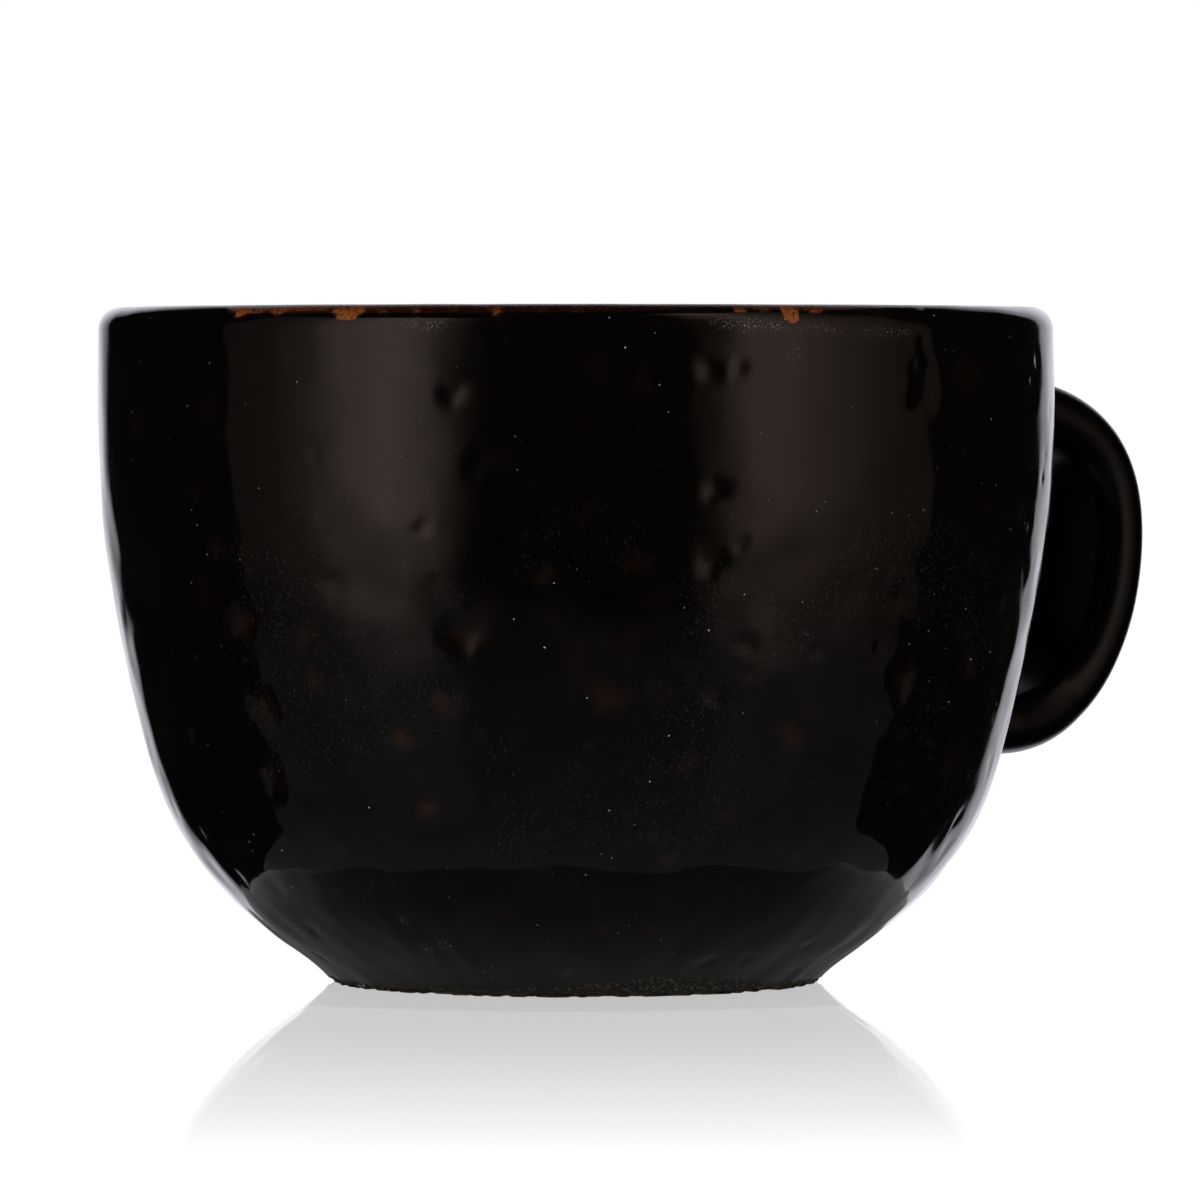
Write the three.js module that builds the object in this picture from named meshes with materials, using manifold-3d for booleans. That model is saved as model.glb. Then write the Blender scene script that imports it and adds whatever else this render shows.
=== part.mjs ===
import * as THREE from 'three';
import { mergeVertices } from 'three/addons/utils/BufferGeometryUtils.js';
import Module from 'manifold-3d';

// A stoneware latte mug in millimetres, standing on z = 0 with its handle towards +X.
// A clay bowl with a turned foot ring carries a strap handle, luted on with slip at both roots.
// An iron glaze coats the wall, the lip, the inside and the handle, and leaves the foot bare.
// The origin is the middle of the mug's footprint, handle included.

// Bowl, measured over the glaze
const MUG_HEIGHT = 75;
const BOWL_RADIUS = 53;
const FOOT_RADIUS = 27;
const FOOT_FLARE = 51.4; // degrees above the table at which the wall leaves the foot
const FOOT_PULL = 9.6; // how far the wall keeps that direction
const WALL_FULLNESS = 0.9; // share of the wall's height that the upright rim pulls on

// Clay and glaze
const WALL = 3.8;
const FLOOR = 5;
const FLOOR_ROUNDING = 9; // height over which the inner wall rounds into the floor
const GLAZE = 0.5;
const SLIP = 0.6;
const SEAT_GAP = 0.3; // clearance of pieces that are cut to seat on a neighbour

// Foot and glaze lines
const FOOT_RING = 4.2; // width of the ring that the mug stands on
const FOOT_RECESS = 1.6;
const RECESS_DRAFT = 0.8; // how far the recess narrows towards its roof
const BARE_FOOT = 1.2; // height of the clay left bare above the table
const RIM_BAND = 4; // depth of the band below the top where the glaze runs thin over the lip

// Handle, a strap in the plane of the bowl's axis
const HANDLE_REACH = 77.6; // from the bowl's axis to the outermost point, over the glaze
const HANDLE_THICKNESS = 5.6;
const HANDLE_WIDTH = 18.5;
const UPPER_ROOT = 10.6; // from the rim down to the strap's middle line at its upper root
const BEND = 49; // height of its outermost point above the table
const LOWER_ROOT = 25.8; // height of its middle line at the lower root
const UPPER_ROOT_PULL = 14.2; // how far the strap runs level out of each root
const LOWER_ROOT_PULL = 17.2;
const UPPER_BEND_PULL = 10.3; // how far it stays upright above and below its outermost point
const LOWER_BEND_PULL = 15.7;
const ROOT_FLARE = 2.2; // growth of the strap on every side where it meets the wall
const ROOT_BLEND = 7; // length over which that growth dies out
const ROOT_SINK = 3; // length of strap run past the wall before it is cut to seat on it

// Facets
const AROUND = 52;
const COAT_STEPS = 10;
const LINING_STEPS = 6;
const FILLET_STEPS = 4;
const BAND_STEPS = 2;
const LIP_STEPS = 6;
const STRAP_STEPS = 13; // along each half of the handle
const EDGE_STEPS = 8; // round each edge of the strap
const ROOT_STATIONS = 5; // stations of the strap that a slip pad is cut from

const lipRadius = WALL / 2 + GLAZE;
const lipHeight = MUG_HEIGHT - lipRadius;
const floorHeight = FOOT_RECESS + FLOOR;

const wasm = await Module();
wasm.setup();

function toSolid(geometry) {
  const bare = geometry.clone();
  bare.deleteAttribute('normal');
  bare.deleteAttribute('uv');
  const merged = mergeVertices(bare);
  const index = merged.getIndex().array;
  const triangles = [];
  for (let corner = 0; corner < index.length; corner += 3) {
    const [a, b, c] = index.slice(corner, corner + 3);
    if (a !== b && b !== c && c !== a) {
      triangles.push(a, b, c);
    }
  }
  return new wasm.Manifold(new wasm.Mesh({
    numProp: 3,
    vertProperties: new Float32Array(merged.getAttribute('position').array),
    triVerts: new Uint32Array(triangles),
  }));
}

function toGeometry(solid) {
  const mesh = solid.getMesh();
  const geometry = new THREE.BufferGeometry();
  geometry.setAttribute('position', new THREE.BufferAttribute(mesh.vertProperties, 3));
  geometry.setIndex(new THREE.BufferAttribute(mesh.triVerts, 1));
  geometry.computeVertexNormals();
  return geometry;
}

// Turns a section of (radius, height) points about the upright axis.
function turned(section) {
  return toSolid(new THREE.LatheGeometry(section, AROUND).rotateX(Math.PI / 2));
}

// Bowl

const flare = THREE.MathUtils.degToRad(FOOT_FLARE);
const wallCurve = new THREE.CubicBezierCurve(
  new THREE.Vector2(FOOT_RADIUS, 0),
  new THREE.Vector2(FOOT_RADIUS + FOOT_PULL * Math.cos(flare), FOOT_PULL * Math.sin(flare)),
  new THREE.Vector2(BOWL_RADIUS, lipHeight * (1 - WALL_FULLNESS)),
  new THREE.Vector2(BOWL_RADIUS, lipHeight),
);

// The wall's section at a depth below the outer glaze surface.
function wallPoint(place, depth) {
  const point = wallCurve.getPoint(place);
  const along = wallCurve.getTangent(place);
  return new THREE.Vector2(point.x - along.y * depth, point.y + along.x * depth);
}

// The place along the wall curve where the section at a depth reaches a height.
function placeAt(height, depth) {
  let low = 0;
  let high = 1;
  for (let halving = 0; halving < 40; halving += 1) {
    const middle = (low + high) / 2;
    if (wallPoint(middle, depth).y < height) {
      low = middle;
    } else {
      high = middle;
    }
  }
  return (low + high) / 2;
}

function spread(from, to, steps) {
  return Array.from({ length: steps + 1 }, (_, step) => from + ((to - from) * step) / steps);
}

const footPlace = placeAt(BARE_FOOT, 0);
const bandPlace = placeAt(MUG_HEIGHT - RIM_BAND, 0);
const coatPlaces = spread(footPlace, bandPlace, COAT_STEPS);
const bandPlaces = spread(bandPlace, 1, BAND_STEPS);

// Half a circle over the lip, from the outside to the inside, without its two ends.
function lipArc(radius) {
  return spread(0, Math.PI, LIP_STEPS).slice(1, -1).map((angle) => new THREE.Vector2(
    BOWL_RADIUS - lipRadius + radius * Math.cos(angle),
    lipHeight + radius * Math.sin(angle),
  ));
}

const clayDepth = GLAZE;
const liningDepth = GLAZE + WALL;
const innerDepth = GLAZE + WALL + GLAZE;

function bandUp(depth) {
  return bandPlaces.map((place) => wallPoint(place, depth));
}

function bandDown(depth) {
  return bandUp(depth).reverse();
}

// The inside at a depth: down the wall, round a fillet and across the floor to the axis.
function liningDown(depth, floor) {
  const turnPlace = placeAt(floor + FLOOR_ROUNDING, depth);
  const wall = spread(bandPlace, turnPlace, LINING_STEPS).map((place) => wallPoint(place, depth));
  const start = wall.at(-1);
  const along = wallCurve.getTangent(turnPlace);
  const run = FLOOR_ROUNDING / along.y;
  const corner = new THREE.Vector2(start.x - along.x * run, floor);
  const end = new THREE.Vector2(corner.x - run, floor);
  const fillet = new THREE.QuadraticBezierCurve(start, corner, end).getPoints(FILLET_STEPS);
  return [...wall, ...fillet.slice(1), new THREE.Vector2(0, floor)];
}

function bowlBody() {
  const ringInside = FOOT_RADIUS - GLAZE - FOOT_RING;
  return turned([
    new THREE.Vector2(0, FOOT_RECESS),
    new THREE.Vector2(ringInside - RECESS_DRAFT, FOOT_RECESS),
    new THREE.Vector2(ringInside, 0),
    new THREE.Vector2(FOOT_RADIUS - GLAZE, 0),
    ...coatPlaces.map((place) => wallPoint(place, clayDepth)),
    ...bandUp(clayDepth).slice(1),
    ...lipArc(lipRadius - clayDepth),
    ...bandDown(liningDepth),
    ...liningDown(liningDepth, floorHeight).slice(1),
  ]);
}

function wallCoat() {
  const outside = coatPlaces.map((place) => wallPoint(place, 0));
  const againstClay = coatPlaces.map((place) => wallPoint(place, clayDepth));
  return turned([...outside, ...againstClay.reverse(), outside[0]]);
}

function lipCoat() {
  const over = [...bandUp(0), ...lipArc(lipRadius), ...bandDown(innerDepth)];
  const under = [...bandUp(clayDepth), ...lipArc(lipRadius - clayDepth), ...bandDown(liningDepth)];
  return turned([...over, ...under.reverse(), over[0]]);
}

function insideCoat() {
  const againstClay = liningDown(liningDepth, floorHeight);
  const inside = liningDown(innerDepth, floorHeight + GLAZE);
  return turned([...againstClay.reverse(), ...inside]);
}

// The bowl's clay grown by a clearance and filled to the axis, for seating what joins its wall.
function bowlPlug(clearance) {
  const places = [...coatPlaces, ...bandPlaces.slice(1)];
  const wall = places.map((place) => wallPoint(place, clayDepth - clearance));
  return turned([
    new THREE.Vector2(0, wall[0].y),
    ...wall,
    new THREE.Vector2(0, wall.at(-1).y),
  ]);
}

// Handle

function clayRadiusAt(height) {
  return wallPoint(placeAt(height, clayDepth), clayDepth).x;
}

const bendReach = HANDLE_REACH - GLAZE - HANDLE_THICKNESS / 2;
const upperHeight = MUG_HEIGHT - UPPER_ROOT;
const upperStart = clayRadiusAt(upperHeight);
const lowerStart = clayRadiusAt(LOWER_ROOT);
const upperHalf = new THREE.CubicBezierCurve(
  new THREE.Vector2(upperStart, upperHeight),
  new THREE.Vector2(upperStart + UPPER_ROOT_PULL, upperHeight),
  new THREE.Vector2(bendReach, BEND + UPPER_BEND_PULL),
  new THREE.Vector2(bendReach, BEND),
);
const lowerHalf = new THREE.CubicBezierCurve(
  new THREE.Vector2(bendReach, BEND),
  new THREE.Vector2(bendReach, BEND - LOWER_BEND_PULL),
  new THREE.Vector2(lowerStart + LOWER_ROOT_PULL, LOWER_ROOT),
  new THREE.Vector2(lowerStart, LOWER_ROOT),
);

// Stations down the strap's middle line, each with its direction and its distance from a root.
function strapStations() {
  const upper = spread(0, 1, STRAP_STEPS).map((share) => ({
    middle: upperHalf.getPointAt(share),
    along: upperHalf.getTangentAt(share),
    fromRoot: upperHalf.getLength() * share,
  }));
  const lower = spread(0, 1, STRAP_STEPS).map((share) => ({
    middle: lowerHalf.getPointAt(share),
    along: lowerHalf.getTangentAt(share),
    fromRoot: lowerHalf.getLength() * (1 - share),
  }));
  const sunkUpper = {
    middle: new THREE.Vector2(upperStart - ROOT_SINK, upperHeight),
    along: new THREE.Vector2(1, 0),
    fromRoot: 0,
  };
  const sunkLower = {
    middle: new THREE.Vector2(lowerStart - ROOT_SINK, LOWER_ROOT),
    along: new THREE.Vector2(-1, 0),
    fromRoot: 0,
  };
  return [sunkUpper, ...upper, ...lower.slice(1), sunkLower];
}

// One ring of the strap: two flat faces joined by fully rounded edges, flared near the roots.
function strapRing({ middle, along, fromRoot }, growth) {
  const flared = ROOT_FLARE * Math.max(1 - fromRoot / ROOT_BLEND, 0) ** 2;
  const edgeRadius = HANDLE_THICKNESS / 2 + flared + growth;
  const halfFlat = (HANDLE_WIDTH - HANDLE_THICKNESS) / 2;
  const edge = (side) => spread(0, Math.PI, EDGE_STEPS).map((angle) => {
    const outward = edgeRadius * Math.cos(angle);
    const across = side * (halfFlat + edgeRadius * Math.sin(angle));
    return [middle.x - along.y * outward, across, middle.y + along.x * outward];
  });
  return [...edge(1), ...edge(-1).reverse()];
}

// A closed loft through rings that all have as many points.
function loft(rings) {
  const sides = rings[0].length;
  const sum = (ring, axis) => ring.reduce((total, point) => total + point[axis], 0);
  const centre = (ring) => [0, 1, 2].map((axis) => sum(ring, axis) / sides);
  const positions = [...rings.flat(), centre(rings[0]), centre(rings.at(-1))];
  const lastRing = (rings.length - 1) * sides;
  const firstCap = rings.length * sides;
  const lastCap = firstCap + 1;
  const index = [];
  for (let side = 0; side < sides; side += 1) {
    const next = (side + 1) % sides;
    for (let start = 0; start < lastRing; start += sides) {
      index.push(start + side, start + sides + side, start + next);
      index.push(start + sides + side, start + sides + next, start + next);
    }
    index.push(firstCap, side, next);
    index.push(lastCap, lastRing + next, lastRing + side);
  }
  const geometry = new THREE.BufferGeometry();
  geometry.setAttribute('position', new THREE.Float32BufferAttribute(positions.flat(), 3));
  geometry.setIndex(index);
  return toSolid(geometry);
}

const stations = strapStations();

function strap(growth, from = 0, to = stations.length) {
  return loft(stations.slice(from, to).map((station) => strapRing(station, growth)));
}

function handleStrap() {
  return strap(0).subtract(bowlPlug(SEAT_GAP + SLIP + SEAT_GAP));
}

function handleCoat() {
  return strap(GLAZE).subtract(strap(0)).subtract(bowlPlug(SEAT_GAP));
}

// The pad of dried slip between the wall and one root of the strap.
function slipPad(from, to) {
  return strap(-SEAT_GAP, from, to)
    .intersect(bowlPlug(SEAT_GAP + SLIP))
    .subtract(bowlPlug(SEAT_GAP));
}

const upperPad = slipPad(0, ROOT_STATIONS);
const lowerPad = slipPad(stations.length - ROOT_STATIONS, stations.length);
const handleRoom = strap(GLAZE + SEAT_GAP);

// Finishes and assembly

const clayFinish = { color: 0x6b4a34, roughness: 0.9, metalness: 0 };
const slipFinish = { color: 0x7a573d, roughness: 0.95, metalness: 0 };
const glazeFinish = { color: 0x14100e, roughness: 0.12, metalness: 0 };
const rimFinish = { color: 0x4a2412, roughness: 0.25, metalness: 0 };

const mug = new THREE.Group();
mug.position.x = (BOWL_RADIUS - HANDLE_REACH) / 2;

function piece(name, solid, finish) {
  const mesh = new THREE.Mesh(toGeometry(solid), new THREE.MeshStandardMaterial(finish));
  mesh.name = name;
  mug.add(mesh);
}

piece('bowl_body', bowlBody(), clayFinish);
piece('handle', handleStrap(), clayFinish);
piece('upper_slip_joint', upperPad, slipFinish);
piece('lower_slip_joint', lowerPad, slipFinish);
piece('outer_glaze', wallCoat().subtract(handleRoom), glazeFinish);
piece('rim_glaze', lipCoat().subtract(handleRoom), rimFinish);
piece('inner_glaze', insideCoat(), glazeFinish);
piece('handle_glaze', handleCoat(), glazeFinish);

const part = new THREE.Group();
part.add(mug);

export default part;
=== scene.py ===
# %% [markdown]
# # A black stoneware latte mug
# The mug is a wide clay bowl on a turned foot, with a strap handle and a runny iron glaze.
# The construction model gives every piece its size and place. This lesson gives each piece its
# surface: hand-made waves and pits in the glaze, rust where it thins on the lip, and a bare foot.
# The fixed frame is loaded first, so that everything below is measured from it, in metres.

# %% Load the frame
import math

import bpy
import numpy as np
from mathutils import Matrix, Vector


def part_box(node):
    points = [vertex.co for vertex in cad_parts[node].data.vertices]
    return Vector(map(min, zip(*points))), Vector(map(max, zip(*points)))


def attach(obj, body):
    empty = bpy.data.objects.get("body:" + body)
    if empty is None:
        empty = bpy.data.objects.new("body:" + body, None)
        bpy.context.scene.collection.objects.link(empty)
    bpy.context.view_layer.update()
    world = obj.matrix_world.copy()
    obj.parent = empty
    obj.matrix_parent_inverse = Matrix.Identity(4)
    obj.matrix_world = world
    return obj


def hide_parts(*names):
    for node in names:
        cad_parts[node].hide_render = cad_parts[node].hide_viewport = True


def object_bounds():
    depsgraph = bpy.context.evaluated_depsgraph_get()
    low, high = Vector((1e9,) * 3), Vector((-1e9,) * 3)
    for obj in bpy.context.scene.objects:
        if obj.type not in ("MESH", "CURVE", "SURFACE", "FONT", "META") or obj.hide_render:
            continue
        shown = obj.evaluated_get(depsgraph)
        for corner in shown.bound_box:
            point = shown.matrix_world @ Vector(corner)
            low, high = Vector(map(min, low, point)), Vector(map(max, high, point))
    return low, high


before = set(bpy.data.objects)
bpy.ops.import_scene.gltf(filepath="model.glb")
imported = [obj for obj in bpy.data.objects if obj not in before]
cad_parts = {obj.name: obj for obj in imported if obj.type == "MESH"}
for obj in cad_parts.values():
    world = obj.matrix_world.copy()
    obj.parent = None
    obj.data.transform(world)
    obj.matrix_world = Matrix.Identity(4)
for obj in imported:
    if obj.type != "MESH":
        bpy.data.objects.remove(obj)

cad_low, cad_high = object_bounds()
print("frame nodes:", sorted(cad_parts))
print("frame box in mm:", [round(1000 * side, 1) for side in cad_high - cad_low])

# %% [markdown]
# ## Sizes
# The axis, the radius, the height and the two glaze lines are read from the frame's boxes. The curve
# of the wall can't be read from a box, so its few driving sizes are written down here, as they are
# in the construction model. The line of the strap follows the picture more closely than the model's
# does. One named millimetre keeps them all readable.

# %% Sizes of the bowl and the handle
MM = 0.001
coat_low, coat_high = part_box("outer_glaze")
AXIS_X = (coat_low.x + coat_high.x) / 2
BOWL_RADIUS = (coat_high.x - coat_low.x) / 2
MUG_HEIGHT = cad_high.z
BARE_FOOT = coat_low.z
RIM_BAND = MUG_HEIGHT - coat_high.z
HANDLE_REACH = cad_high.x - AXIS_X

FOOT_RADIUS = 27 * MM
FOOT_FLARE = math.radians(51.4)
FOOT_PULL = 9.6 * MM
WALL_FULLNESS = 0.9
WALL = 3.8 * MM
FLOOR = 5 * MM
FLOOR_ROUNDING = 9 * MM
GLAZE = 0.5 * MM
FOOT_RING = 4.2 * MM
FOOT_RECESS = 1.6 * MM
RECESS_DRAFT = 0.8 * MM

HANDLE_THICKNESS = 5.6 * MM
HANDLE_WIDTH = 18.5 * MM
UPPER_ROOT = MUG_HEIGHT - 10.6 * MM
BEND = 49 * MM
LOWER_ROOT = 29 * MM
UPPER_PULLS = (15.0 * MM, 10.7 * MM)
LOWER_PULLS = (9.0 * MM, 21.0 * MM)
LOWER_DIP = 7.2 * MM

LIP_RADIUS = WALL / 2 + GLAZE
LIP_HEIGHT = MUG_HEIGHT - LIP_RADIUS
CLAY_DEPTH = GLAZE
LINING_DEPTH = GLAZE + WALL
INNER_DEPTH = GLAZE + WALL + GLAZE
print(f"bowl radius {BOWL_RADIUS / MM:.1f} mm, axis at x = {AXIS_X / MM:.1f} mm")

# %% [markdown]
# ## Camera
# The photograph was taken from far away with a long lens, a little below the rim, with the handle
# turned to the back right. The same place and lens keep the proportions of the picture.

# %% Camera
VIEW_AZIMUTH = math.radians(-38)
VIEW_DISTANCE = 980 * MM
VIEW_HEIGHT = 67 * MM
AIM_RIGHT = 2.75 * MM
AIM_HEIGHT = 42.47 * MM
LENS = 264
SENSOR = 36

view_right = Vector((math.cos(VIEW_AZIMUTH), math.sin(VIEW_AZIMUTH), 0))
view_back = Vector((math.sin(VIEW_AZIMUTH), -math.cos(VIEW_AZIMUTH), 0))
bowl_axis = Vector((AXIS_X, 0, 0))

camera_data = bpy.data.cameras.new("studio_camera")
camera_data.lens = LENS
camera_data.sensor_width = SENSOR
camera_data.sensor_fit = "HORIZONTAL"
camera = bpy.data.objects.new("studio_camera", camera_data)
bpy.context.scene.collection.objects.link(camera)
camera.location = bowl_axis + view_back * VIEW_DISTANCE + Vector((0, 0, VIEW_HEIGHT))
aim = bowl_axis + view_right * AIM_RIGHT + Vector((0, 0, AIM_HEIGHT))
camera.rotation_euler = (aim - camera.location).to_track_quat("-Z", "Y").to_euler()
bpy.context.scene.camera = camera
FRONT = math.atan2(view_back.y, view_back.x)
print(f"camera {camera.location.length:.3f} m away, lens {LENS} mm")

# %% [markdown]
# ## The wall's section
# The wall is one cubic curve from the foot to the upright rim, turned about the axis. A dense table
# of the curve lets later cells ask for a place by its distance along the wall, so that rows of faces
# lie evenly and pits stay round.

# %% Section of the wall
def cubic(share, points):
    share = np.asarray(share)[..., None]
    weights = ((1 - share) ** 3, 3 * share * (1 - share) ** 2, 3 * share**2 * (1 - share), share**3)
    return sum(weight * np.array(point) for weight, point in zip(weights, points))


def cubic_direction(share, points):
    share = np.asarray(share)[..., None]
    legs = np.diff(np.array(points), axis=0)
    weights = ((1 - share) ** 2, 2 * share * (1 - share), share**2)
    slope = sum(weight * leg for weight, leg in zip(weights, legs))
    return slope / np.linalg.norm(slope, axis=-1, keepdims=True)


WALL_CURVE = (
    (FOOT_RADIUS, 0),
    (FOOT_RADIUS + FOOT_PULL * math.cos(FOOT_FLARE), FOOT_PULL * math.sin(FOOT_FLARE)),
    (BOWL_RADIUS, LIP_HEIGHT * (1 - WALL_FULLNESS)),
    (BOWL_RADIUS, LIP_HEIGHT),
)
TABLE_POINTS = 4001


def arc_along(points):
    """Distances from the first point of a line to all its points."""
    steps = np.linalg.norm(np.diff(points, axis=0), axis=1)
    return np.concatenate([[0], np.cumsum(steps)])


table_share = np.linspace(0, 1, TABLE_POINTS)
table_point = cubic(table_share, WALL_CURVE)
table_arc = arc_along(table_point)


def arc_at_height(height):
    return np.interp(height, table_point[:, 1], table_arc)


def height_at_arc(arc):
    return np.interp(arc, table_arc, table_point[:, 1])


def wall_place(arc, depth):
    """Radius and height at a distance along the wall, at a depth below the glaze surface."""
    share = np.interp(arc, table_arc, table_share)
    point = cubic(share, WALL_CURVE)
    along = cubic_direction(share, WALL_CURVE)
    outward = np.stack([along[..., 1], -along[..., 0]], -1)
    return point - outward * np.asarray(depth)[..., None]


WALL_ARC = table_arc[-1]
BAND_ARC = arc_at_height(MUG_HEIGHT - RIM_BAND)
print(f"the wall is {WALL_ARC / MM:.1f} mm long from the foot to the lip")

# %% [markdown]
# ## Hand-made relief
# The wall of the real mug isn't a perfect lathe form. It swells and sinks by a few hundredths of a
# millimetre, which makes the edges of every reflection wander, it is some tenths of a millimetre
# fuller in places, and small pits dent it. All this could be bump in the material, but then the
# outline and the exported mesh would stay smooth, so it moves the points of the mesh. The swell is a
# sum of seeded waves that close on themselves round the mug.

# %% Swell of the wall
AROUND = 600
turn = np.arange(AROUND) * 2 * math.pi / AROUND
random = np.random.default_rng(38)

SWELL_WAVES = 90
SWELL_LENGTHS = (4.6 * MM, 24 * MM)
SWELL_SLOPE = 0.0036
CALM_HEIGHTS = (42 * MM, 60 * MM)
CALM_SHARE = 0.45
FULLER = ((19 * MM, 6.5 * MM, 0.42 * MM), (55 * MM, 13 * MM, 0.30 * MM))
HANDLE_PULL = (57 * MM, 14 * MM, 0.34 * MM)
PULL_TURN = math.radians(-20)


def swell_waves():
    lengths = SWELL_LENGTHS[0] * (SWELL_LENGTHS[1] / SWELL_LENGTHS[0]) ** random.random(SWELL_WAVES)
    headings = random.random(SWELL_WAVES) * math.pi
    phases = random.random(SWELL_WAVES) * 2 * math.pi
    around = np.round(2 * math.pi * BOWL_RADIUS / lengths * np.cos(headings))
    upward = 2 * math.pi / lengths * np.sin(headings)
    return list(zip(around, upward, phases, SWELL_SLOPE * lengths / (2 * math.pi)))


WAVES = swell_waves()


def swell(angle, arc):
    """Waves of the wall, which are weaker near the rim."""
    lift = np.zeros(np.broadcast(angle, arc).shape)
    for around, upward, phase, size in WAVES:
        lift += size * np.cos(around * angle + upward * arc + phase)
    return lift * np.interp(height_at_arc(arc), CALM_HEIGHTS, (1, CALM_SHARE))


def girth(angle, arc):
    """How much fuller the wall is than its plain curve, most of all beside the handle."""
    height = height_at_arc(arc)
    fuller = sum(size * np.exp(-((height - middle) / reach) ** 2) for middle, reach, size in FULLER)
    middle, reach, size = HANDLE_PULL
    beside = np.clip(np.cos(angle - PULL_TURN), 0, 1) ** 2
    return fuller + beside * size * np.exp(-((height - middle) / reach) ** 2)


print(f"{SWELL_WAVES} waves swell the wall")

# %% [markdown]
# The pits that the photograph shows are listed by their angle to the right of the view's middle, their
# height, their radius and their depth in millimetres, and how brown the glaze has broken in them.

# %% Pits that the photograph shows
SEEN_PITS = (
    (15.6, 68.0, 1.9, 0.20, 0.1), (19.0, 68.2, 1.3, 0.16, 0.0), (16.4, 55.4, 1.8, 0.20, 0.1),
    (16.2, 47.6, 2.1, 0.20, 0.2), (19.6, 49.6, 1.2, 0.12, 0.0), (21.2, 38.8, 1.6, 0.12, 0.7),
    (17.2, 33.4, 1.8, 0.20, 0.8), (12.2, 36.6, 1.7, 0.12, 0.1), (4.0, 33.4, 4.6, 0.10, 0.9),
    (28.5, 29.0, 3.8, 0.06, 0.8), (14.8, 26.2, 2.4, 0.06, 0.8), (13.2, 16.0, 2.4, 0.08, 0.8),
    (7.3, 47.6, 3.6, 0.08, 0.4), (44.8, 66.0, 3.4, 0.22, 0.2), (42.5, 43.4, 2.8, 0.18, 0.3),
    (40.2, 38.2, 1.6, 0.16, 0.2), (45.0, 34.6, 3.0, 0.22, 0.6), (46.6, 28.8, 1.9, 0.18, 0.4),
    (48.8, 23.0, 2.2, 0.18, 0.3), (-44.2, 41.0, 3.3, 0.24, 0.8), (-42.8, 31.6, 3.6, 0.26, 0.8),
    (-44.2, 24.6, 2.6, 0.20, 0.8), (-53.4, 18.2, 1.5, 0.12, 0.2), (-37.6, 22.6, 2.2, 0.18, 0.2),
    (-14.2, 65.4, 1.8, 0.18, 0.1), (-18.0, 51.4, 1.3, 0.12, 0.0), (-10.8, 58.4, 2.6, 0.10, 0.1),
    (-13.6, 40.0, 3.2, 0.24, 0.7), (-16.8, 33.0, 2.2, 0.08, 1.6), (-22.4, 28.8, 2.6, 0.10, 1.8),
    (-12.8, 29.2, 1.5, 0.16, 0.2), (-20.2, 21.4, 2.4, 0.08, 1.5), (-30.0, 45.2, 2.3, 0.06, 0.6),
    (-34.8, 39.8, 2.6, 0.07, 0.7), (-34.0, 35.0, 3.0, 0.08, 0.8), (-3.6, 46.2, 2.4, 0.08, 0.7),
    (-41.0, 54.2, 0.9, 0.10, 0.0), (-47.4, 49.0, 1.6, 0.10, 0.6), (31.0, 38.0, 1.3, 0.05, 0.8),
    (-68.0, 17.4, 1.9, 0.12, 0.0), (-63.8, 12.6, 1.8, 0.14, 0.0), (-53.5, 11.7, 1.6, 0.16, 0.2),
    (-53.8, 6.9, 1.7, 0.17, 0.3), (-63.8, 3.6, 1.7, 0.16, 0.2), (27.0, 4.1, 1.6, 0.15, 0.4),
    (35.0, 4.3, 1.4, 0.15, 0.3), (49.0, 5.2, 1.5, 0.16, 0.2), (63.0, 4.8, 1.8, 0.15, 0.2),
    (69.0, 6.8, 1.3, 0.07, 0.0), (-36.0, 6.0, 2.0, 0.06, 0.8), (5.0, 8.0, 2.4, 0.05, 0.6),
    (44.6, 70.6, 1.2, 0.10, 0.0), (43.0, 68.2, 1.3, 0.10, 0.0), (42.6, 64.6, 1.3, 0.10, 0.0),
    (71.9, 69.0, 1.2, 0.13, 0.0), (70.0, 66.9, 1.1, 0.16, 0.0), (71.0, 51.0, 1.1, 0.12, 0.0),
    (76.2, 58.8, 1.0, 0.10, 0.0), (75.4, 56.2, 1.2, 0.12, 0.0),
    (68.9, 36.6, 1.1, 0.11, 0.0), (66.6, 25.4, 1.0, 0.10, 0.0), (67.2, 22.8, 1.0, 0.10, 0.0),
    (68.2, 19.1, 1.3, 0.08, 0.0), (-1.7, 19.8, 0.8, 0.03, 0.9), (-11.0, 9.6, 1.0, 0.03, 0.7),
    (13.0, 8.0, 1.0, 0.03, 0.7), (13.6, 11.4, 0.9, 0.03, 0.7), (25.6, 12.4, 1.4, 0.04, 0.7),
    (33.2, 15.6, 1.2, 0.04, 0.8), (20.4, 20.6, 1.6, 0.04, 0.7), (10.6, 18.4, 1.5, 0.04, 0.7),
    (-6.4, 16.4, 1.1, 0.03, 0.7), (-6.8, 29.4, 1.4, 0.05, 0.4), (-35.4, 16.2, 1.6, 0.04, 0.9),
    (-46.0, 12.6, 1.4, 0.05, 0.8), (-41.4, 11.2, 1.3, 0.04, 0.6),
)
print(f"{len(SEEN_PITS)} pits placed by hand")

# %% [markdown]
# The other sides get seeded pits of the same kind, more of them small and low than large and high.
# Where they face the camera they are shallow, and in the middle of the view only the smallest are
# kept, so that they don't compete with the listed pits.

# %% Seeded pits
SEEDED_PITS = 190
SEEN_HALF_ANGLE = 52
FACING_HALF_ANGLE = 100
FACING_DEPTH = 0.4
PIT_HEIGHTS = (5, 67)
PIT_LOWNESS = 1.3
LEAST_PIT = 0.9
PIT_SPREAD = 2.4
SMALL_PIT = 1.1
PIT_STEEPNESS = 0.085
STEEPNESS_RANGE = (0.6, 1.3)
DEEPEST_PIT = 0.24


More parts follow.
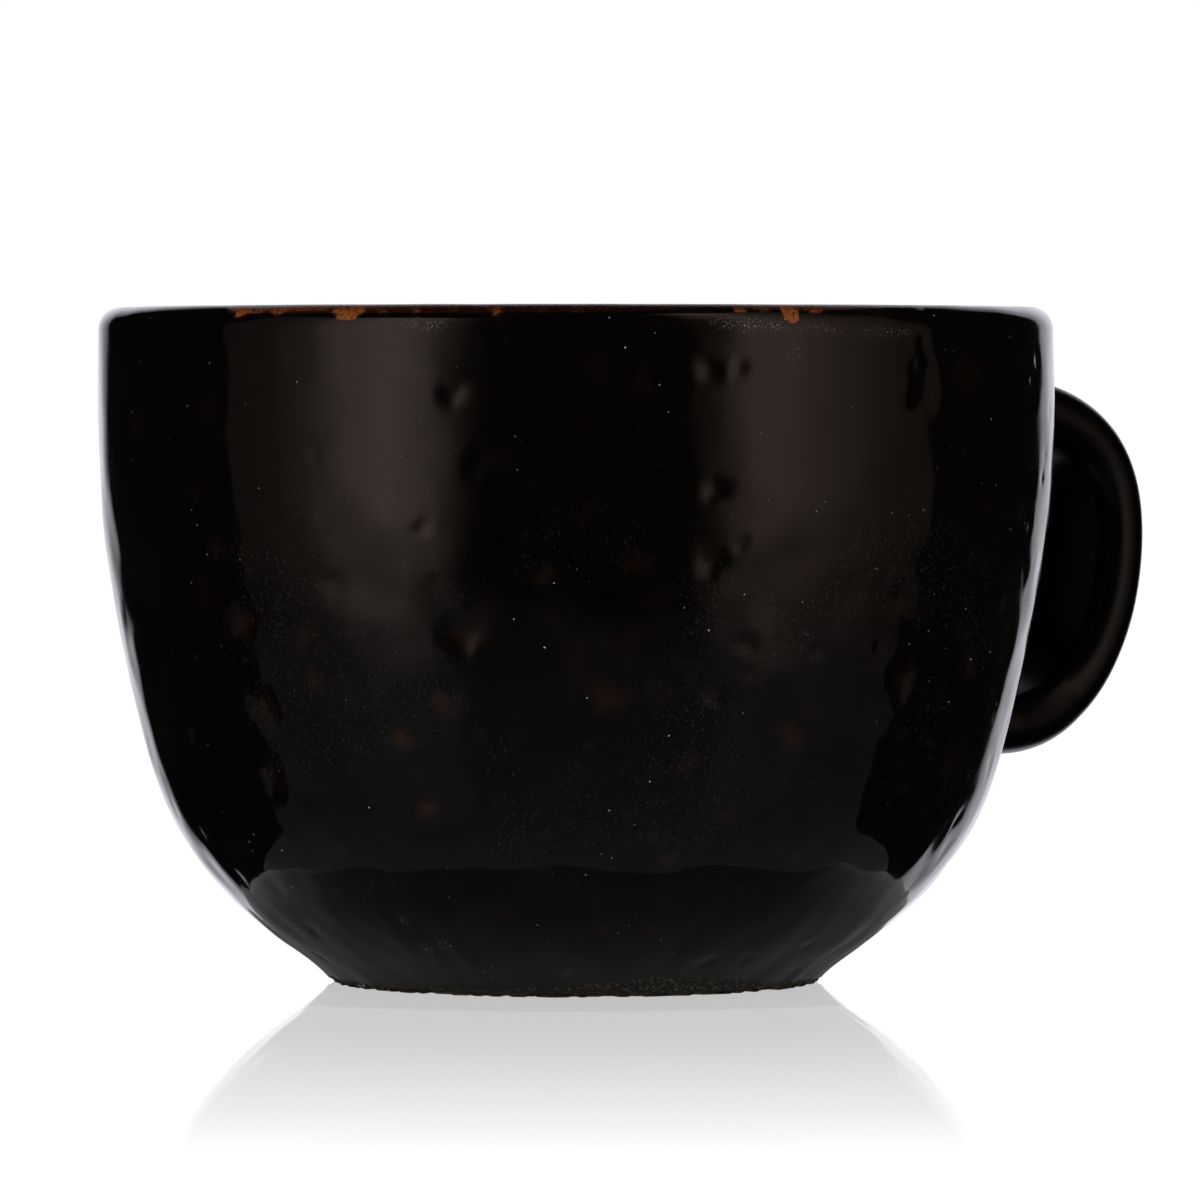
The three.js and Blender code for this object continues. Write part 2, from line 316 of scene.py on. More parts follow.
def seeded_pits():
    pits = []
    for _ in range(SEEDED_PITS):
        angle = random.uniform(-180, 180)
        height = PIT_HEIGHTS[0] + (PIT_HEIGHTS[1] - PIT_HEIGHTS[0]) * random.random() ** PIT_LOWNESS
        radius = LEAST_PIT + PIT_SPREAD * random.random() ** 2
        depth = min(DEEPEST_PIT, PIT_STEEPNESS * radius * random.uniform(*STEEPNESS_RANGE))
        brown = random.random()
        if abs(angle) < FACING_HALF_ANGLE:
            depth *= FACING_DEPTH
        if abs(angle) > SEEN_HALF_ANGLE or radius < SMALL_PIT:
            pits.append((angle, height, radius, depth, brown))
    return pits


PITS = list(SEEN_PITS) + seeded_pits()
print(f"{len(PITS)} pits in all")

# %% [markdown]
# A pit is a soft dent with an uneven outline, and its middle is the brownest. Where two pits overlap
# the deeper one counts, so that they don't add up to a hole.

# %% Shape of a pit
PIT_WOBBLE = ((0.16, 2), (0.11, 3), (0.07, 5))
PIT_SHOULDER = 1.2
BROWN_MIDDLE = 1.15
BROWN_FALL = 2.0
PIT_TILTS = random.random((len(PITS), len(PIT_WOBBLE))) * 2 * math.pi


def pits_of_wall(angle, arc, radius):
    """Depth of the pits, and how brown the glaze is, at places of the wall."""
    depth = np.zeros(np.broadcast(angle, arc).shape)
    brown = np.zeros_like(depth)
    for (right, height, reach, deep, warmth), tilts in zip(PITS, PIT_TILTS):
        turned = np.angle(np.exp(1j * (angle - FRONT - math.radians(right))))
        across = turned * radius
        upward = arc - arc_at_height(height * MM)
        heading = np.arctan2(upward, across)
        wobble = sum(size * np.cos(count * heading + tilt)
                     for (size, count), tilt in zip(PIT_WOBBLE, tilts))
        apart = np.hypot(across, upward) / (reach * MM * (1 + wobble))
        depth = np.maximum(depth, deep * MM * np.clip(1 - (apart / PIT_SHOULDER) ** 2, 0, 1) ** 3)
        brown = np.maximum(brown, warmth * np.clip(BROWN_MIDDLE - BROWN_FALL * apart, 0, 1))
    return depth, brown


print(f"{PIT_TILTS.size} tilts make the pits uneven")

# %% [markdown]
# ## Turning rows of points into closed meshes
# Every coat of glaze is a skin with a thickness. Its section is a loop of rows, and each row is a
# ring of points, so one helper can skin any of them. A spin modifier would do for plain lathe forms,
# but here every row has its own relief. Rows where two coats meet stay sharp, so that the shading
# runs straight on from one coat to the next.

# %% Skins
def mesh_object(name, points, faces):
    mesh = bpy.data.meshes.new(name)
    mesh.from_pydata(points, [], faces)
    thing = bpy.data.objects.new(name, mesh)
    bpy.context.scene.collection.objects.link(thing)
    return thing


def ring_faces(count, around, closed):
    row = np.arange(count if closed else count - 1)[:, None]
    column = np.arange(around)[None, :]
    over = (row + 1) % count
    beside = (column + 1) % around
    here, there = row * around, over * around
    corners = (here + column, here + beside, there + beside, there + column)
    return np.stack(corners, -1).reshape(-1, 4).tolist()


def outward_faces(points, faces):
    """The faces, turned over if they enclose a negative volume."""
    corners = np.array([face if len(face) == 4 else face + face[-1:] for face in faces])
    a, b, c, d = (points[corners[:, place]] for place in range(4))
    volume = np.sum(a * np.cross(b, c)) + np.sum(a * np.cross(c, d))
    return faces if volume > 0 else [face[::-1] for face in faces]


def skin(name, rows, closed=True, sharp_rows=()):
    """A mesh object over rows of points; an open skin is capped at the middle of its end rows."""
    count, around = rows.shape[:2]
    points = rows.reshape(-1, 3)
    faces = ring_faces(count, around, closed)
    if not closed:
        first, last = len(points), len(points) + 1
        points = np.concatenate([points, rows[:1].mean(1), rows[-1:].mean(1)])
        end = (count - 1) * around
        for column in range(around):
            beside = (column + 1) % around
            faces.append([first, beside, column])
            faces.append([last, end + column, end + beside])
    piece = mesh_object(name, points.tolist(), outward_faces(points, faces))
    mesh = piece.data
    mesh.polygons.foreach_set("use_smooth", np.ones(len(mesh.polygons), bool))
    if sharp_rows:
        ends = np.zeros(2 * len(mesh.edges), int)
        mesh.edges.foreach_get("vertices", ends)
        ends = ends.reshape(-1, 2) // around
        sharp = (ends[:, 0] == ends[:, 1]) & np.isin(ends[:, 0], sharp_rows)
        mesh.attributes.new("sharp_edge", "BOOLEAN", "EDGE").data.foreach_set("value", sharp)
    mesh.update()
    print(f"{name}: {len(mesh.polygons)} faces")
    return piece


print("skin helpers ready")

# %% [markdown]
# Most rows are rings round the mug's axis, with a radius and a height at every angle. What a finish
# has to know about a place, such as how rusty it is, is kept as a value on the points of the mesh.

# %% Rings and painted values
def all_round(section):
    """Rows that are the same at every angle."""
    return np.repeat(section[:, None], AROUND, axis=1)


def turned_rows(section):
    """Rings of points for rows with a radius and a height at every angle."""
    radius, height = section[..., 0], section[..., 1]
    return np.stack([AXIS_X + radius * np.cos(turn), radius * np.sin(turn), height], -1)


def paint(piece, name, values):
    """Keeps a value for each point of a piece, for its material to read."""
    full = np.zeros(len(piece.data.vertices), np.float32)
    full[: values.size] = values.ravel()
    piece.data.attributes.new(name, "FLOAT", "POINT").data.foreach_set("value", full)


print(f"a ring has {AROUND} points")

# %% [markdown]
# ## Glaze on the wall
# The coat runs from the lip down to a wandering line just above the table, where it ends in a soft
# bead. Its outer face carries the swell and the pits. Its inner face lies on the clay and needs few
# rows. The rows close up towards the bead, where the form turns fastest.

# %% Wall glaze
WALL_ROW = 0.66 * MM
BEAD_ARCS = np.array([0, 0.05, 0.12, 0.22, 0.36, 0.54, 0.78, 1.1, 1.5]) * MM
BEAD = 0.3 * MM
EDGE_COUNTS = (3, 5, 8, 13, 21, 34, 55)
EDGE_WANDER = 0.16 * MM
EDGE_SPAN = 1.6
EDGE_DEPTH = 0.22 * MM
FOOT_LINE = 0.36 * MM
FOOT_LINE_LIMITS = (0.14 * MM, 0.7 * MM)
BACK_ROWS = 6


def edge_line(angle):
    """How far the glaze line lies above or below its mean height, round the foot."""
    line = np.zeros_like(angle)
    for count in EDGE_COUNTS:
        line += np.cos(count * angle + random.random() * 2 * math.pi) / math.sqrt(count)
    return EDGE_WANDER * line / EDGE_SPAN


foot_line = np.clip(FOOT_LINE + edge_line(turn), *FOOT_LINE_LIMITS)
edge_arc = arc_at_height(foot_line)
even_arcs = np.arange(BEAD_ARCS[-1] + WALL_ROW, BAND_ARC - arc_at_height(BARE_FOOT), WALL_ROW)
row_share = np.concatenate([BEAD_ARCS, even_arcs])
row_share = row_share / row_share[-1]
wall_arc = edge_arc + (BAND_ARC - edge_arc) * row_share[:, None]


def glaze_depth(arc, angle, radius):
    """Depth below the true surface at places of the outer skin, and the brown of its pits."""
    pits, brown = pits_of_wall(angle, arc, radius)
    return pits - swell(angle, arc) - girth(angle, arc), brown


wall_radius = wall_place(wall_arc, 0)[..., 0]
wall_depth, wall_brown = glaze_depth(wall_arc, turn, wall_radius)
past_edge = np.clip((wall_arc - edge_arc) / BEAD, 0, 1)
wall_depth += (EDGE_DEPTH - wall_depth) * (1 - np.sqrt(1 - (1 - past_edge) ** 2))
back_arc = edge_arc + (BAND_ARC - edge_arc) * np.linspace(1, 0, BACK_ROWS)[:, None]
wall_back = wall_place(back_arc, GLAZE)
wall_rows = np.concatenate([wall_place(wall_arc, wall_depth), wall_back[:-1]])
top_row = len(wall_arc) - 1
wall_glaze = skin("wall_glaze", turned_rows(wall_rows), sharp_rows=(top_row, top_row + 1))
paint(wall_glaze, "pit_brown", wall_brown)

# %% [markdown]
# ## Glaze over the lip
# Molten glaze runs off a sharp lip, so it is thinnest there and its iron turns to rust. The lip is a
# half round between the outer and the inner wall. It goes on from the top row of the wall's coat,
# and the swell dies away over it.

# %% Lip glaze
BAND_ROWS = 5
LIP_ROWS = 18
SWELL_END = 0.8
lip_turn = np.linspace(0, math.pi, LIP_ROWS + 1)
lip_out = np.stack([np.cos(lip_turn), np.sin(lip_turn)], -1)


def lip_section(radius):
    centre = np.array([BOWL_RADIUS - LIP_RADIUS, LIP_HEIGHT])
    return centre + radius * lip_out


band_arc = np.linspace(BAND_ARC, WALL_ARC, BAND_ROWS)
lip_arc = WALL_ARC + LIP_RADIUS * lip_turn
lip_calm = np.clip(1 - (lip_arc - WALL_ARC) / (LIP_RADIUS * math.pi * SWELL_END), 0, 1)
lip_swell = (swell(turn, lip_arc[:, None]) + girth(turn, lip_arc[:, None])) * lip_calm[:, None]
band_depth, _ = glaze_depth(band_arc[:-1, None], turn, BOWL_RADIUS)
outer_band = wall_place(all_round(band_arc[:-1]), band_depth)
lip_over = lip_section(LIP_RADIUS)[:, None] + lip_out[:, None] * lip_swell[..., None]
inner_band = wall_place(band_arc[::-1][1:], INNER_DEPTH)
under_in = wall_place(band_arc, LINING_DEPTH)
under_out = wall_place(band_arc[::-1], CLAY_DEPTH)
under = np.concatenate([under_in, lip_section(LIP_RADIUS - GLAZE)[::-1][1:-1], under_out])
over_rows = np.concatenate([outer_band, lip_over, all_round(inner_band)])
last_over = len(over_rows) - 1
lip_rows = np.concatenate([over_rows, all_round(under)])
lip_sharp = (0, last_over, last_over + 1, len(lip_rows) - 1)
lip_glaze = skin("lip_glaze", turned_rows(lip_rows), sharp_rows=lip_sharp)

# %% [markdown]
# The rust follows the lip in patches. Each patch is listed by its middle and half width in degrees
# from the view's middle, by how far it runs down from the top in millimetres, and by its strength.
# Between them runs a thin red line of changing depth, which nearly vanishes at both sides of the
# view, and seeded patches go on round the back. The very top is burnt to a darker red than the runs
# below it.

# %% Rust on the lip
SEEN_RUST = (
    (-43.4, 0.9, 1.55, 0.98), (-42.6, 1.2, 1.35, 0.95), (-40.4, 1.8, 1.10, 0.89),
    (-37.2, 1.4, 1.30, 0.94), (-34.4, 2.4, 0.90, 0.93), (-31.4, 1.8, 0.85, 0.91),
    (-27.4, 2.1, 1.95, 1.0), (-24.8, 1.6, 0.95, 0.80), (-23.0, 1.0, 1.15, 0.84),
    (-20.9, 0.8, 1.00, 0.80), (-18.9, 0.8, 1.30, 0.85), (-14.2, 0.8, 1.05, 0.80),
    (-9.2, 0.9, 1.40, 0.88), (-4.1, 1.0, 1.10, 0.77), (0.2, 1.4, 1.10, 0.77),
    (5.1, 0.8, 0.95, 0.76), (17.0, 0.8, 0.80, 0.77), (19.3, 1.1, 1.20, 0.90),
    (22.2, 1.3, 1.00, 0.88), (25.7, 1.5, 2.20, 1.0), (29.0, 1.6, 1.15, 0.90),
    (32.8, 1.6, 0.70, 0.82), (36.0, 2.0, 0.50, 0.74), (45.2, 0.9, 0.75, 0.80),
)
SEEDED_RUST = 60
SEEDED_DEGREES = (100, 260)
SEEDED_WIDTHS = (0.7, 2.4)
SEEDED_REACH = (0.4, 1.7)
SEEDED_STRENGTHS = (0.7, 1)
RUST_EDGE = 0.45 * MM
LINE_DEGREES = (-47, -45, -30, -12, 4, 11, 16, 22, 32, 40, 60, 100, 245, 280)
LINE_REACH = (0.0, 1.1, 1.05, 1.05, 1.0, 0.8, 0.5, 0.85, 0.8, 0.45, 0.1, 0.5, 0.5, 0.0)
LINE_SHARE = (0.5, 0.75, 0.74, 0.71, 0.70, 0.68, 0.66, 0.71, 0.71, 0.66, 0.6, 0.71, 0.71, 0.5)
LINE_MIDDLE = 106
BURNT_TOP = 0.9 * MM
BURNT_RED = 0.7
BURNT_KEPT = 0.25


def rust_runs():
    runs = list(SEEN_RUST)
    for _ in range(SEEDED_RUST):
        middle = random.uniform(*SEEDED_DEGREES)
        reach = SEEDED_REACH[0] + SEEDED_REACH[1] * random.random() ** 3
        runs.append((middle, random.uniform(*SEEDED_WIDTHS), reach, random.uniform(*SEEDED_STRENGTHS)))
    return runs


RUST_RUNS = rust_runs()


def degrees_from(middle):
    """How far every column of the wall lies from an angle right of the view's middle."""
    return np.degrees(np.angle(np.exp(1j * (turn - FRONT - math.radians(middle)))))


def rust_on(drop):
    """How rusty the glaze is at drops below the lip's top, for every angle and row."""
    right = degrees_from(LINE_MIDDLE) + LINE_MIDDLE
    line = np.interp(right, LINE_DEGREES, LINE_REACH) * MM
    rust = np.interp(right, LINE_DEGREES, LINE_SHARE) * np.clip(0.5 + (line - drop) / RUST_EDGE, 0, 1)
    for middle, half, reach, strength in RUST_RUNS:
        patch = np.clip(1 - (np.abs(degrees_from(middle)) / half) ** 3, 0, 1)
        run = reach * MM * np.sqrt(patch) - RUST_EDGE * (patch == 0)
        rust = np.maximum(rust, strength * np.clip(0.5 + (run - drop) / RUST_EDGE, 0, 1))
    lower = np.clip(drop / BURNT_TOP, 0, 1)
    kept = BURNT_KEPT + (1 - BURNT_KEPT) * lower
    return np.minimum(rust, BURNT_RED + (rust - BURNT_RED) * kept)


wall_heights = wall_rows[: len(wall_arc), :, 1]
lip_rust = rust_on(MUG_HEIGHT - over_rows[..., 1])
paint(lip_glaze, "rust", lip_rust)
paint(wall_glaze, "rust", rust_on(MUG_HEIGHT - wall_heights))
print(f"rust covers {lip_rust.mean():.0%} of the lip coat")

# %% [markdown]
# Pale crystals grew in drifts just below the lip and in a few places of the wall, listed by angle,
# height, half width, half height and strength. Down at the foot the glaze is so thin that it dried
# to a rough brown crust, which climbs higher on one side.

# %% Crystals and the dry foot
DRIFTS = (
    (-17.2, 72.75, 2.0, 0.5, 0.8), (17.8, 73.0, 1.6, 0.45, 0.8), (20.3, 72.85, 1.6, 0.6, 1.0),
    (23.4, 72.6, 1.6, 0.5, 0.7), (29.0, 72.4, 3.0, 0.45, 0.4), (38.5, 72.1, 4.0, 0.45, 0.45),
    (26.2, 69.8, 1.0, 2.2, 0.2), (-28.5, 5.5, 0.9, 0.5, 0.8), (-24.5, 6.1, 0.8, 0.45, 0.8),
    (-28.8, 4.5, 0.6, 0.45, 0.7), (-1.8, 2.9, 0.9, 0.4, 0.8), (-29.6, 8.6, 0.5, 0.6, 0.6),
)
SEEDED_DRIFTS = 26
DRIFT_DEGREES = (60, 300)
DRIFT_HEIGHTS = (6, 68)
LIP_DRIFTS = 72.6
DRIFT_SIZES = (1.2, 5)
DRIFT_STRENGTHS = (0.2, 0.9)
CRUST = 0.75 * MM
CRUST_FADE = 0.9 * MM
CRUST_CLIMB = 1.5 * MM
CRUST_TURN = (22, 24)


def drifts_all():
    drifts = list(DRIFTS)
    for _ in range(SEEDED_DRIFTS):
        height = random.choice((LIP_DRIFTS, random.uniform(*DRIFT_HEIGHTS)))
        size = random.uniform(*DRIFT_SIZES)
        middle = random.uniform(*DRIFT_DEGREES)
        drifts.append((middle, height, size, 0.2 * size + 0.4, random.uniform(*DRIFT_STRENGTHS)))
    return drifts


CRYSTAL_DRIFTS = drifts_all()


def crystals_on(height):
    amount = np.zeros_like(height)
    for middle, level, wide, tall, strength in CRYSTAL_DRIFTS:
        across = np.radians(degrees_from(middle)) * BOWL_RADIUS / (wide * MM)
        upward = (height - level * MM) / (tall * MM)
        amount = np.maximum(amount, strength * np.exp(-(across**2) - upward**2))
    return amount


def crust_on(height):
    climb = CRUST_CLIMB * np.exp(-((degrees_from(CRUST_TURN[0]) / CRUST_TURN[1]) ** 2))
    return np.clip(0.5 + (CRUST + climb - height) / CRUST_FADE, 0, 1)


paint(wall_glaze, "crystals", crystals_on(wall_heights))
paint(lip_glaze, "crystals", crystals_on(over_rows[..., 1]))
paint(wall_glaze, "crust", crust_on(wall_heights))
print(f"{len(CRYSTAL_DRIFTS)} drifts of crystals")

# %% [markdown]
# ## Glaze inside
# The lining runs down the inner wall, round a wide fillet and across the floor. It is smoother than
# the outside, because the glaze pools there, so it gets half of the swell and no pits.

# %% Inside glaze
LINING_ROWS = 64
FILLET_ROWS = 26
FLOOR_ROWS = 16
UNDER_ROWS = (12, 8, 3)
INNER_CALM = 0.5
CALM_BELOW_LIP = 6 * MM
CALM_AT_AXIS = 24 * MM
INNER_SWELL_START = 0.2


def lining_section(depth, floor, wall_rows, fillet_rows, floor_rows):
    """The inside's section at a depth: down the wall, round the fillet, across the floor."""
    arcs = np.linspace(0, WALL_ARC, TABLE_POINTS)
    heights = wall_place(arcs, depth)[:, 1]
    turn_arc = np.interp(floor + FLOOR_ROUNDING, heights, arcs)
    wall_arcs = np.linspace(BAND_ARC, turn_arc, wall_rows)
    wall = wall_place(wall_arcs, depth)
    along = cubic_direction(np.interp(turn_arc, table_arc, table_share), WALL_CURVE)
    run = FLOOR_ROUNDING / along[1]
    corner = np.array([wall[-1, 0] - along[0] * run, floor])
    end = np.array([corner[0] - run, floor])
    share = np.linspace(0, 1, fillet_rows)[1:, None]
    fillet = (1 - share) ** 2 * wall[-1] + 2 * share * (1 - share) * corner + share**2 * end
    across = np.linspace(1, 0, floor_rows)[1:-1, None] * np.array([end[0], 0]) + np.array([0, floor])
    return np.concatenate([wall, fillet, across])


def section_outward(section):
    along = np.gradient(section, axis=0)
    along /= np.linalg.norm(along, axis=1, keepdims=True)
    return np.stack([along[:, 1], -along[:, 0]], -1)


floor_height = FOOT_RECESS + FLOOR
lining = lining_section(INNER_DEPTH, floor_height + GLAZE, LINING_ROWS, FILLET_ROWS, FLOOR_ROWS)
lining_under = lining_section(LINING_DEPTH, floor_height, *UNDER_ROWS)
lining_arc = arc_along(lining)
below_lip = np.clip(lining_arc / CALM_BELOW_LIP, 0, 1)
off_axis = np.clip(lining[:, 0] / CALM_AT_AXIS, 0, 1)
lining_calm = INNER_CALM * below_lip * off_axis
lining_swell = swell(turn, INNER_SWELL_START - lining_arc[:, None]) * lining_calm[:, None]
lining_skin = lining[:, None] + section_outward(lining)[:, None] * lining_swell[..., None]
lining_rows = np.concatenate([all_round(lining_under[::-1]), lining_skin])
rim_row = len(lining_under)
inside_glaze = skin("inside_glaze", turned_rows(lining_rows), False, (rim_row - 1, rim_row))

# %% [markdown]
# ## The clay bowl and its foot
# Only the foot of the clay shows: a turned ring with a shallow recess inside. Its section is drawn
# from the middle of the recess outward, with small rounded corners that catch the light.

# %% Section of the foot
FOOT_CORNER = 0.35 * MM
CORNER_POINTS = 7
RECESS_EYE = 0.3 * MM
RECESS_POINTS = 40
RAMP_POINTS = 8
RAMP_GAP = 0.2 * MM
RING_POINTS = 14


def foot_section():
    """From the recess over the ring to the bare wall, with small rounded corners."""
    inside = FOOT_RADIUS - GLAZE - FOOT_RING
    outside = FOOT_RADIUS - GLAZE
    corner = np.linspace(0, math.pi / 2, CORNER_POINTS)
    recess_radii = np.linspace(RECESS_EYE, inside - 2 * RECESS_DRAFT, RECESS_POINTS)
    recess = np.stack([recess_radii, np.full(RECESS_POINTS, FOOT_RECESS)], -1)
    ramp = np.linspace(recess[-1], (inside - RAMP_GAP, FOOT_CORNER), RAMP_POINTS)[1:]
    inner = np.array([inside + FOOT_CORNER, FOOT_CORNER]) - FOOT_CORNER * np.stack(
        [np.cos(corner), np.sin(corner)], -1)
    flat = np.linspace((inside + 2 * FOOT_CORNER, 0), (outside - 2 * FOOT_CORNER, 0), RING_POINTS)
    outer = np.array([outside - FOOT_CORNER, FOOT_CORNER]) + FOOT_CORNER * np.stack(
        [np.sin(corner), -np.cos(corner)], -1)
    return np.concatenate([recess, ramp, inner, flat, outer])


foot = foot_section()
print(f"the foot's section has {len(foot)} points")

# %% [markdown]
# The bare clay is rough where grog was torn out by the tool. Seeded grit lifts and dents it, and dies
# out under the glaze, and small chips break the outer corner of the ring. Above the ring the clay
# swells out almost flush with the edge of the glaze.

# %% Bowl clay
GRIT_WAVES = 160
GRIT_LENGTHS = (0.9 * MM, 6 * MM)
GRIT_SLOPE = 0.004
FLUSH = 0.1 * MM
CHIP = 0.2 * MM
CHIP_COUNTS = (9, 17, 29, 47, 71)
CHIP_CAP = 1.6
BARE_HEIGHTS = (0.6, 2.4, 10)
GLAZED_HEIGHTS = (3, 71, 20)
BARE_ROWS = 12
BARE_TOP = 1.6 * MM
BARE_FADE = 0.9 * MM
CALM_RECESS = 10 * MM
LINE_FADE = 0.5 * MM
PROUD_ROWS = 8


def grit(angle, arc):
    shape = np.zeros(np.broadcast(angle, arc).shape)
    lengths = GRIT_LENGTHS[0] * (GRIT_LENGTHS[1] / GRIT_LENGTHS[0]) ** random.random(GRIT_WAVES)
    headings = random.random(GRIT_WAVES) * math.pi
    phases = random.random(GRIT_WAVES) * 2 * math.pi
    for length, heading, phase in zip(lengths, headings, phases):
        around = round(2 * math.pi * FOOT_RADIUS / length * math.cos(heading))
        upward = 2 * math.pi / length * math.sin(heading)
        shape += GRIT_SLOPE * length * np.cos(around * angle + upward * arc + phase)
    return shape


clay_heights = np.concatenate([np.linspace(*BARE_HEIGHTS), np.geomspace(*GLAZED_HEIGHTS)]) * MM
clay_wall = wall_place(arc_at_height(clay_heights), CLAY_DEPTH)
clay = np.concatenate([foot, clay_wall, lip_section(LIP_RADIUS - GLAZE), lining_under])
clay_arc = arc_along(clay)
covered = clay_arc > clay_arc[len(foot) + BARE_ROWS]
bare = np.clip((BARE_TOP - clay[:, 1]) / BARE_FADE, 0, 1)
bare[: len(foot)] = 1
bare[covered] = 0
bare *= np.clip(clay[:, 0] / CALM_RECESS, 0, 1)
rough = grit(turn, clay_arc[:, None]) * bare[:, None]
past_line = np.clip((clay[:, 1:] - foot_line) / LINE_FADE, 0, 1)
past_ring = np.clip(np.arange(len(clay)) - len(foot) + PROUD_ROWS, 0, 1)
proud = (GLAZE - FLUSH) * (1 - past_line) * past_ring[:, None]
proud[covered] = 0
clay_rows = clay[:, None] + section_outward(clay)[:, None] * (rough + proud)[..., None]
chips = sum(np.cos(count * turn + random.random() * 2 * math.pi) for count in CHIP_COUNTS)
clay_rows[..., 1] = np.maximum(clay_rows[..., 1], 0)
clay_rows[len(foot) - CORNER_POINTS : len(foot), :, 1] += CHIP * np.clip(chips, 0, CHIP_CAP) / CHIP_CAP
bowl_clay = skin("bowl_clay", turned_rows(clay_rows), False)

# %% [markdown]
# ## The handle
# The handle is a flat strap, pulled from wet clay and bent like an ear. Its middle line is two cubic
# curves that meet at the outermost bend. The lower one dips below its root before it rises into the
# wall. Even steps along the line keep the rings of the loft evenly spaced.

# %% Line of the strap
HALF_STATIONS = 70
DENSE_POINTS = 2001


def clay_radius(height):
    return float(wall_place(arc_at_height(height), CLAY_DEPTH)[0])


bend_reach = HANDLE_REACH - GLAZE - HANDLE_THICKNESS / 2
UPPER_CURVE = (
    (clay_radius(UPPER_ROOT), UPPER_ROOT),
    (clay_radius(UPPER_ROOT) + UPPER_PULLS[0], UPPER_ROOT),
    (bend_reach, BEND + UPPER_PULLS[1]),
    (bend_reach, BEND),
)
LOWER_CURVE = (
    (bend_reach, BEND),
    (bend_reach, BEND - LOWER_PULLS[0]),
    (clay_radius(LOWER_ROOT) + LOWER_PULLS[1], LOWER_ROOT - LOWER_DIP),
    (clay_radius(LOWER_ROOT), LOWER_ROOT),
)


def even_shares(curve):
    """Shares of a curve that lie evenly along it, and their distances from its start."""
    dense = np.linspace(0, 1, DENSE_POINTS)
    arc = arc_along(cubic(dense, curve))
    even_arc = np.linspace(0, 1, HALF_STATIONS) * arc[-1]
    return np.interp(even_arc, arc, dense), even_arc


def strap_line():
    """Middle points, directions and distances from the nearer root, down the whole strap."""
    upper, upper_arc = even_shares(UPPER_CURVE)
    lower, lower_arc = even_shares(LOWER_CURVE)
    middle = np.concatenate([cubic(upper, UPPER_CURVE), cubic(lower, LOWER_CURVE)[1:]])
    upper_along = cubic_direction(upper, UPPER_CURVE)
    lower_along = cubic_direction(lower, LOWER_CURVE)[1:]
    from_root = np.concatenate([upper_arc, (lower_arc[-1] - lower_arc)[1:]])
    return middle, np.concatenate([upper_along, lower_along]), from_root


STRAP_LINE = strap_line()
print(f"the strap's line has {len(STRAP_LINE[0])} stations")

# %% [markdown]
# Across the strap a ring has two faces, a little crowned, and two round edges. Near the wall each
# ring grows, and its points slide to the bowl's own surface, so that the glaze flows from the strap
# into the wall with no gap.

# %% Rings of the strap
EDGE_POINTS = 22
FLAT_POINTS = 20
ROOT_FLARES = (2.2 * MM, 0.6 * MM)
ROOT_BLEND = 7 * MM
FILLETS = (1.5 * MM, 0.4 * MM)
FILLET_BLEND = 2.6 * MM
STRAP_PLACES = (0.0, 0.45, 0.60, 0.76, 0.88, 1.0)
STRAP_WIDER = (0.0, 0.0, -0.1 * MM, -1.0 * MM, 0.3 * MM, 0.0)


def strap_outline(edge_radius, crown, wider):
    """One ring across the strap: outward and sideways distances of two faces and two round edges."""
    half_flat = (HANDLE_WIDTH + wider - HANDLE_THICKNESS) / 2
    edge = np.linspace(0, math.pi, EDGE_POINTS)
    face = np.linspace(1, -1, FLAT_POINTS)[1:-1] * half_flat
    swollen = crown * (1 - (face / half_flat) ** 2)
    right = np.stack([edge_radius * np.cos(edge), half_flat + edge_radius * np.sin(edge)], -1)
    inner = np.stack([-edge_radius - swollen, face], -1)
    left = -right
    outer = np.stack([edge_radius + swollen, face[::-1]], -1)
    return np.concatenate([right, inner, left, outer])


def strap_rows(growth, crown, sink):
    """Rings down the strap whose end rings lie on the bowl's wall, a little under its glaze."""
    middle, along, from_root = STRAP_LINE
    wider = np.interp(np.linspace(0, 1, len(middle)), STRAP_PLACES, STRAP_WIDER)
    rows = []
    for station, (point, heading, distance) in enumerate(zip(middle, along, from_root)):
        lower = station >= HALF_STATIONS
        edge_radius = HANDLE_THICKNESS / 2 + growth
        edge_radius += ROOT_FLARES[lower] * max(1 - distance / ROOT_BLEND, 0) ** 2
        if growth > 0:
            edge_radius += FILLETS[lower] * max(1 - distance / FILLET_BLEND, 0) ** 3
        outline = strap_outline(edge_radius, crown, wider[station])
        reach = point[0] - heading[1] * outline[:, 0]
        height = point[1] + heading[0] * outline[:, 0]
        rows.append(np.stack([reach, outline[:, 1], height], -1))
    rows = np.array(rows)
    weight = np.clip(1 - from_root / ROOT_BLEND, 0, 1) ** 2
    for end, half in ((0, slice(0, HALF_STATIONS)), (-1, slice(HALF_STATIONS, None))):
        seat = wall_place(arc_at_height(rows[end, :, 2]), sink)[:, 0]
        shift = np.sqrt(seat**2 - rows[end, :, 1] ** 2) - rows[end, :, 0]
        rows[half, :, 0] += weight[half, None] * shift
    rows[..., 0] += AXIS_X
    return rows


print(f"a ring of the strap has {len(strap_outline(HANDLE_THICKNESS / 2, 0, 0))} points")

# %% [markdown]
# The coat is a loft over these rings, with a hollow for the strap. The clay strap is lofted in the
# same way, a hair smaller than the hollow, and its first and last slices are the pads of slip that
# join it to the bowl.

# %% Handle coat, strap and slip
CROWN = 0.35 * MM
ROOT_SINK = 0.3 * MM
STRAP_GAP = 0.02 * MM

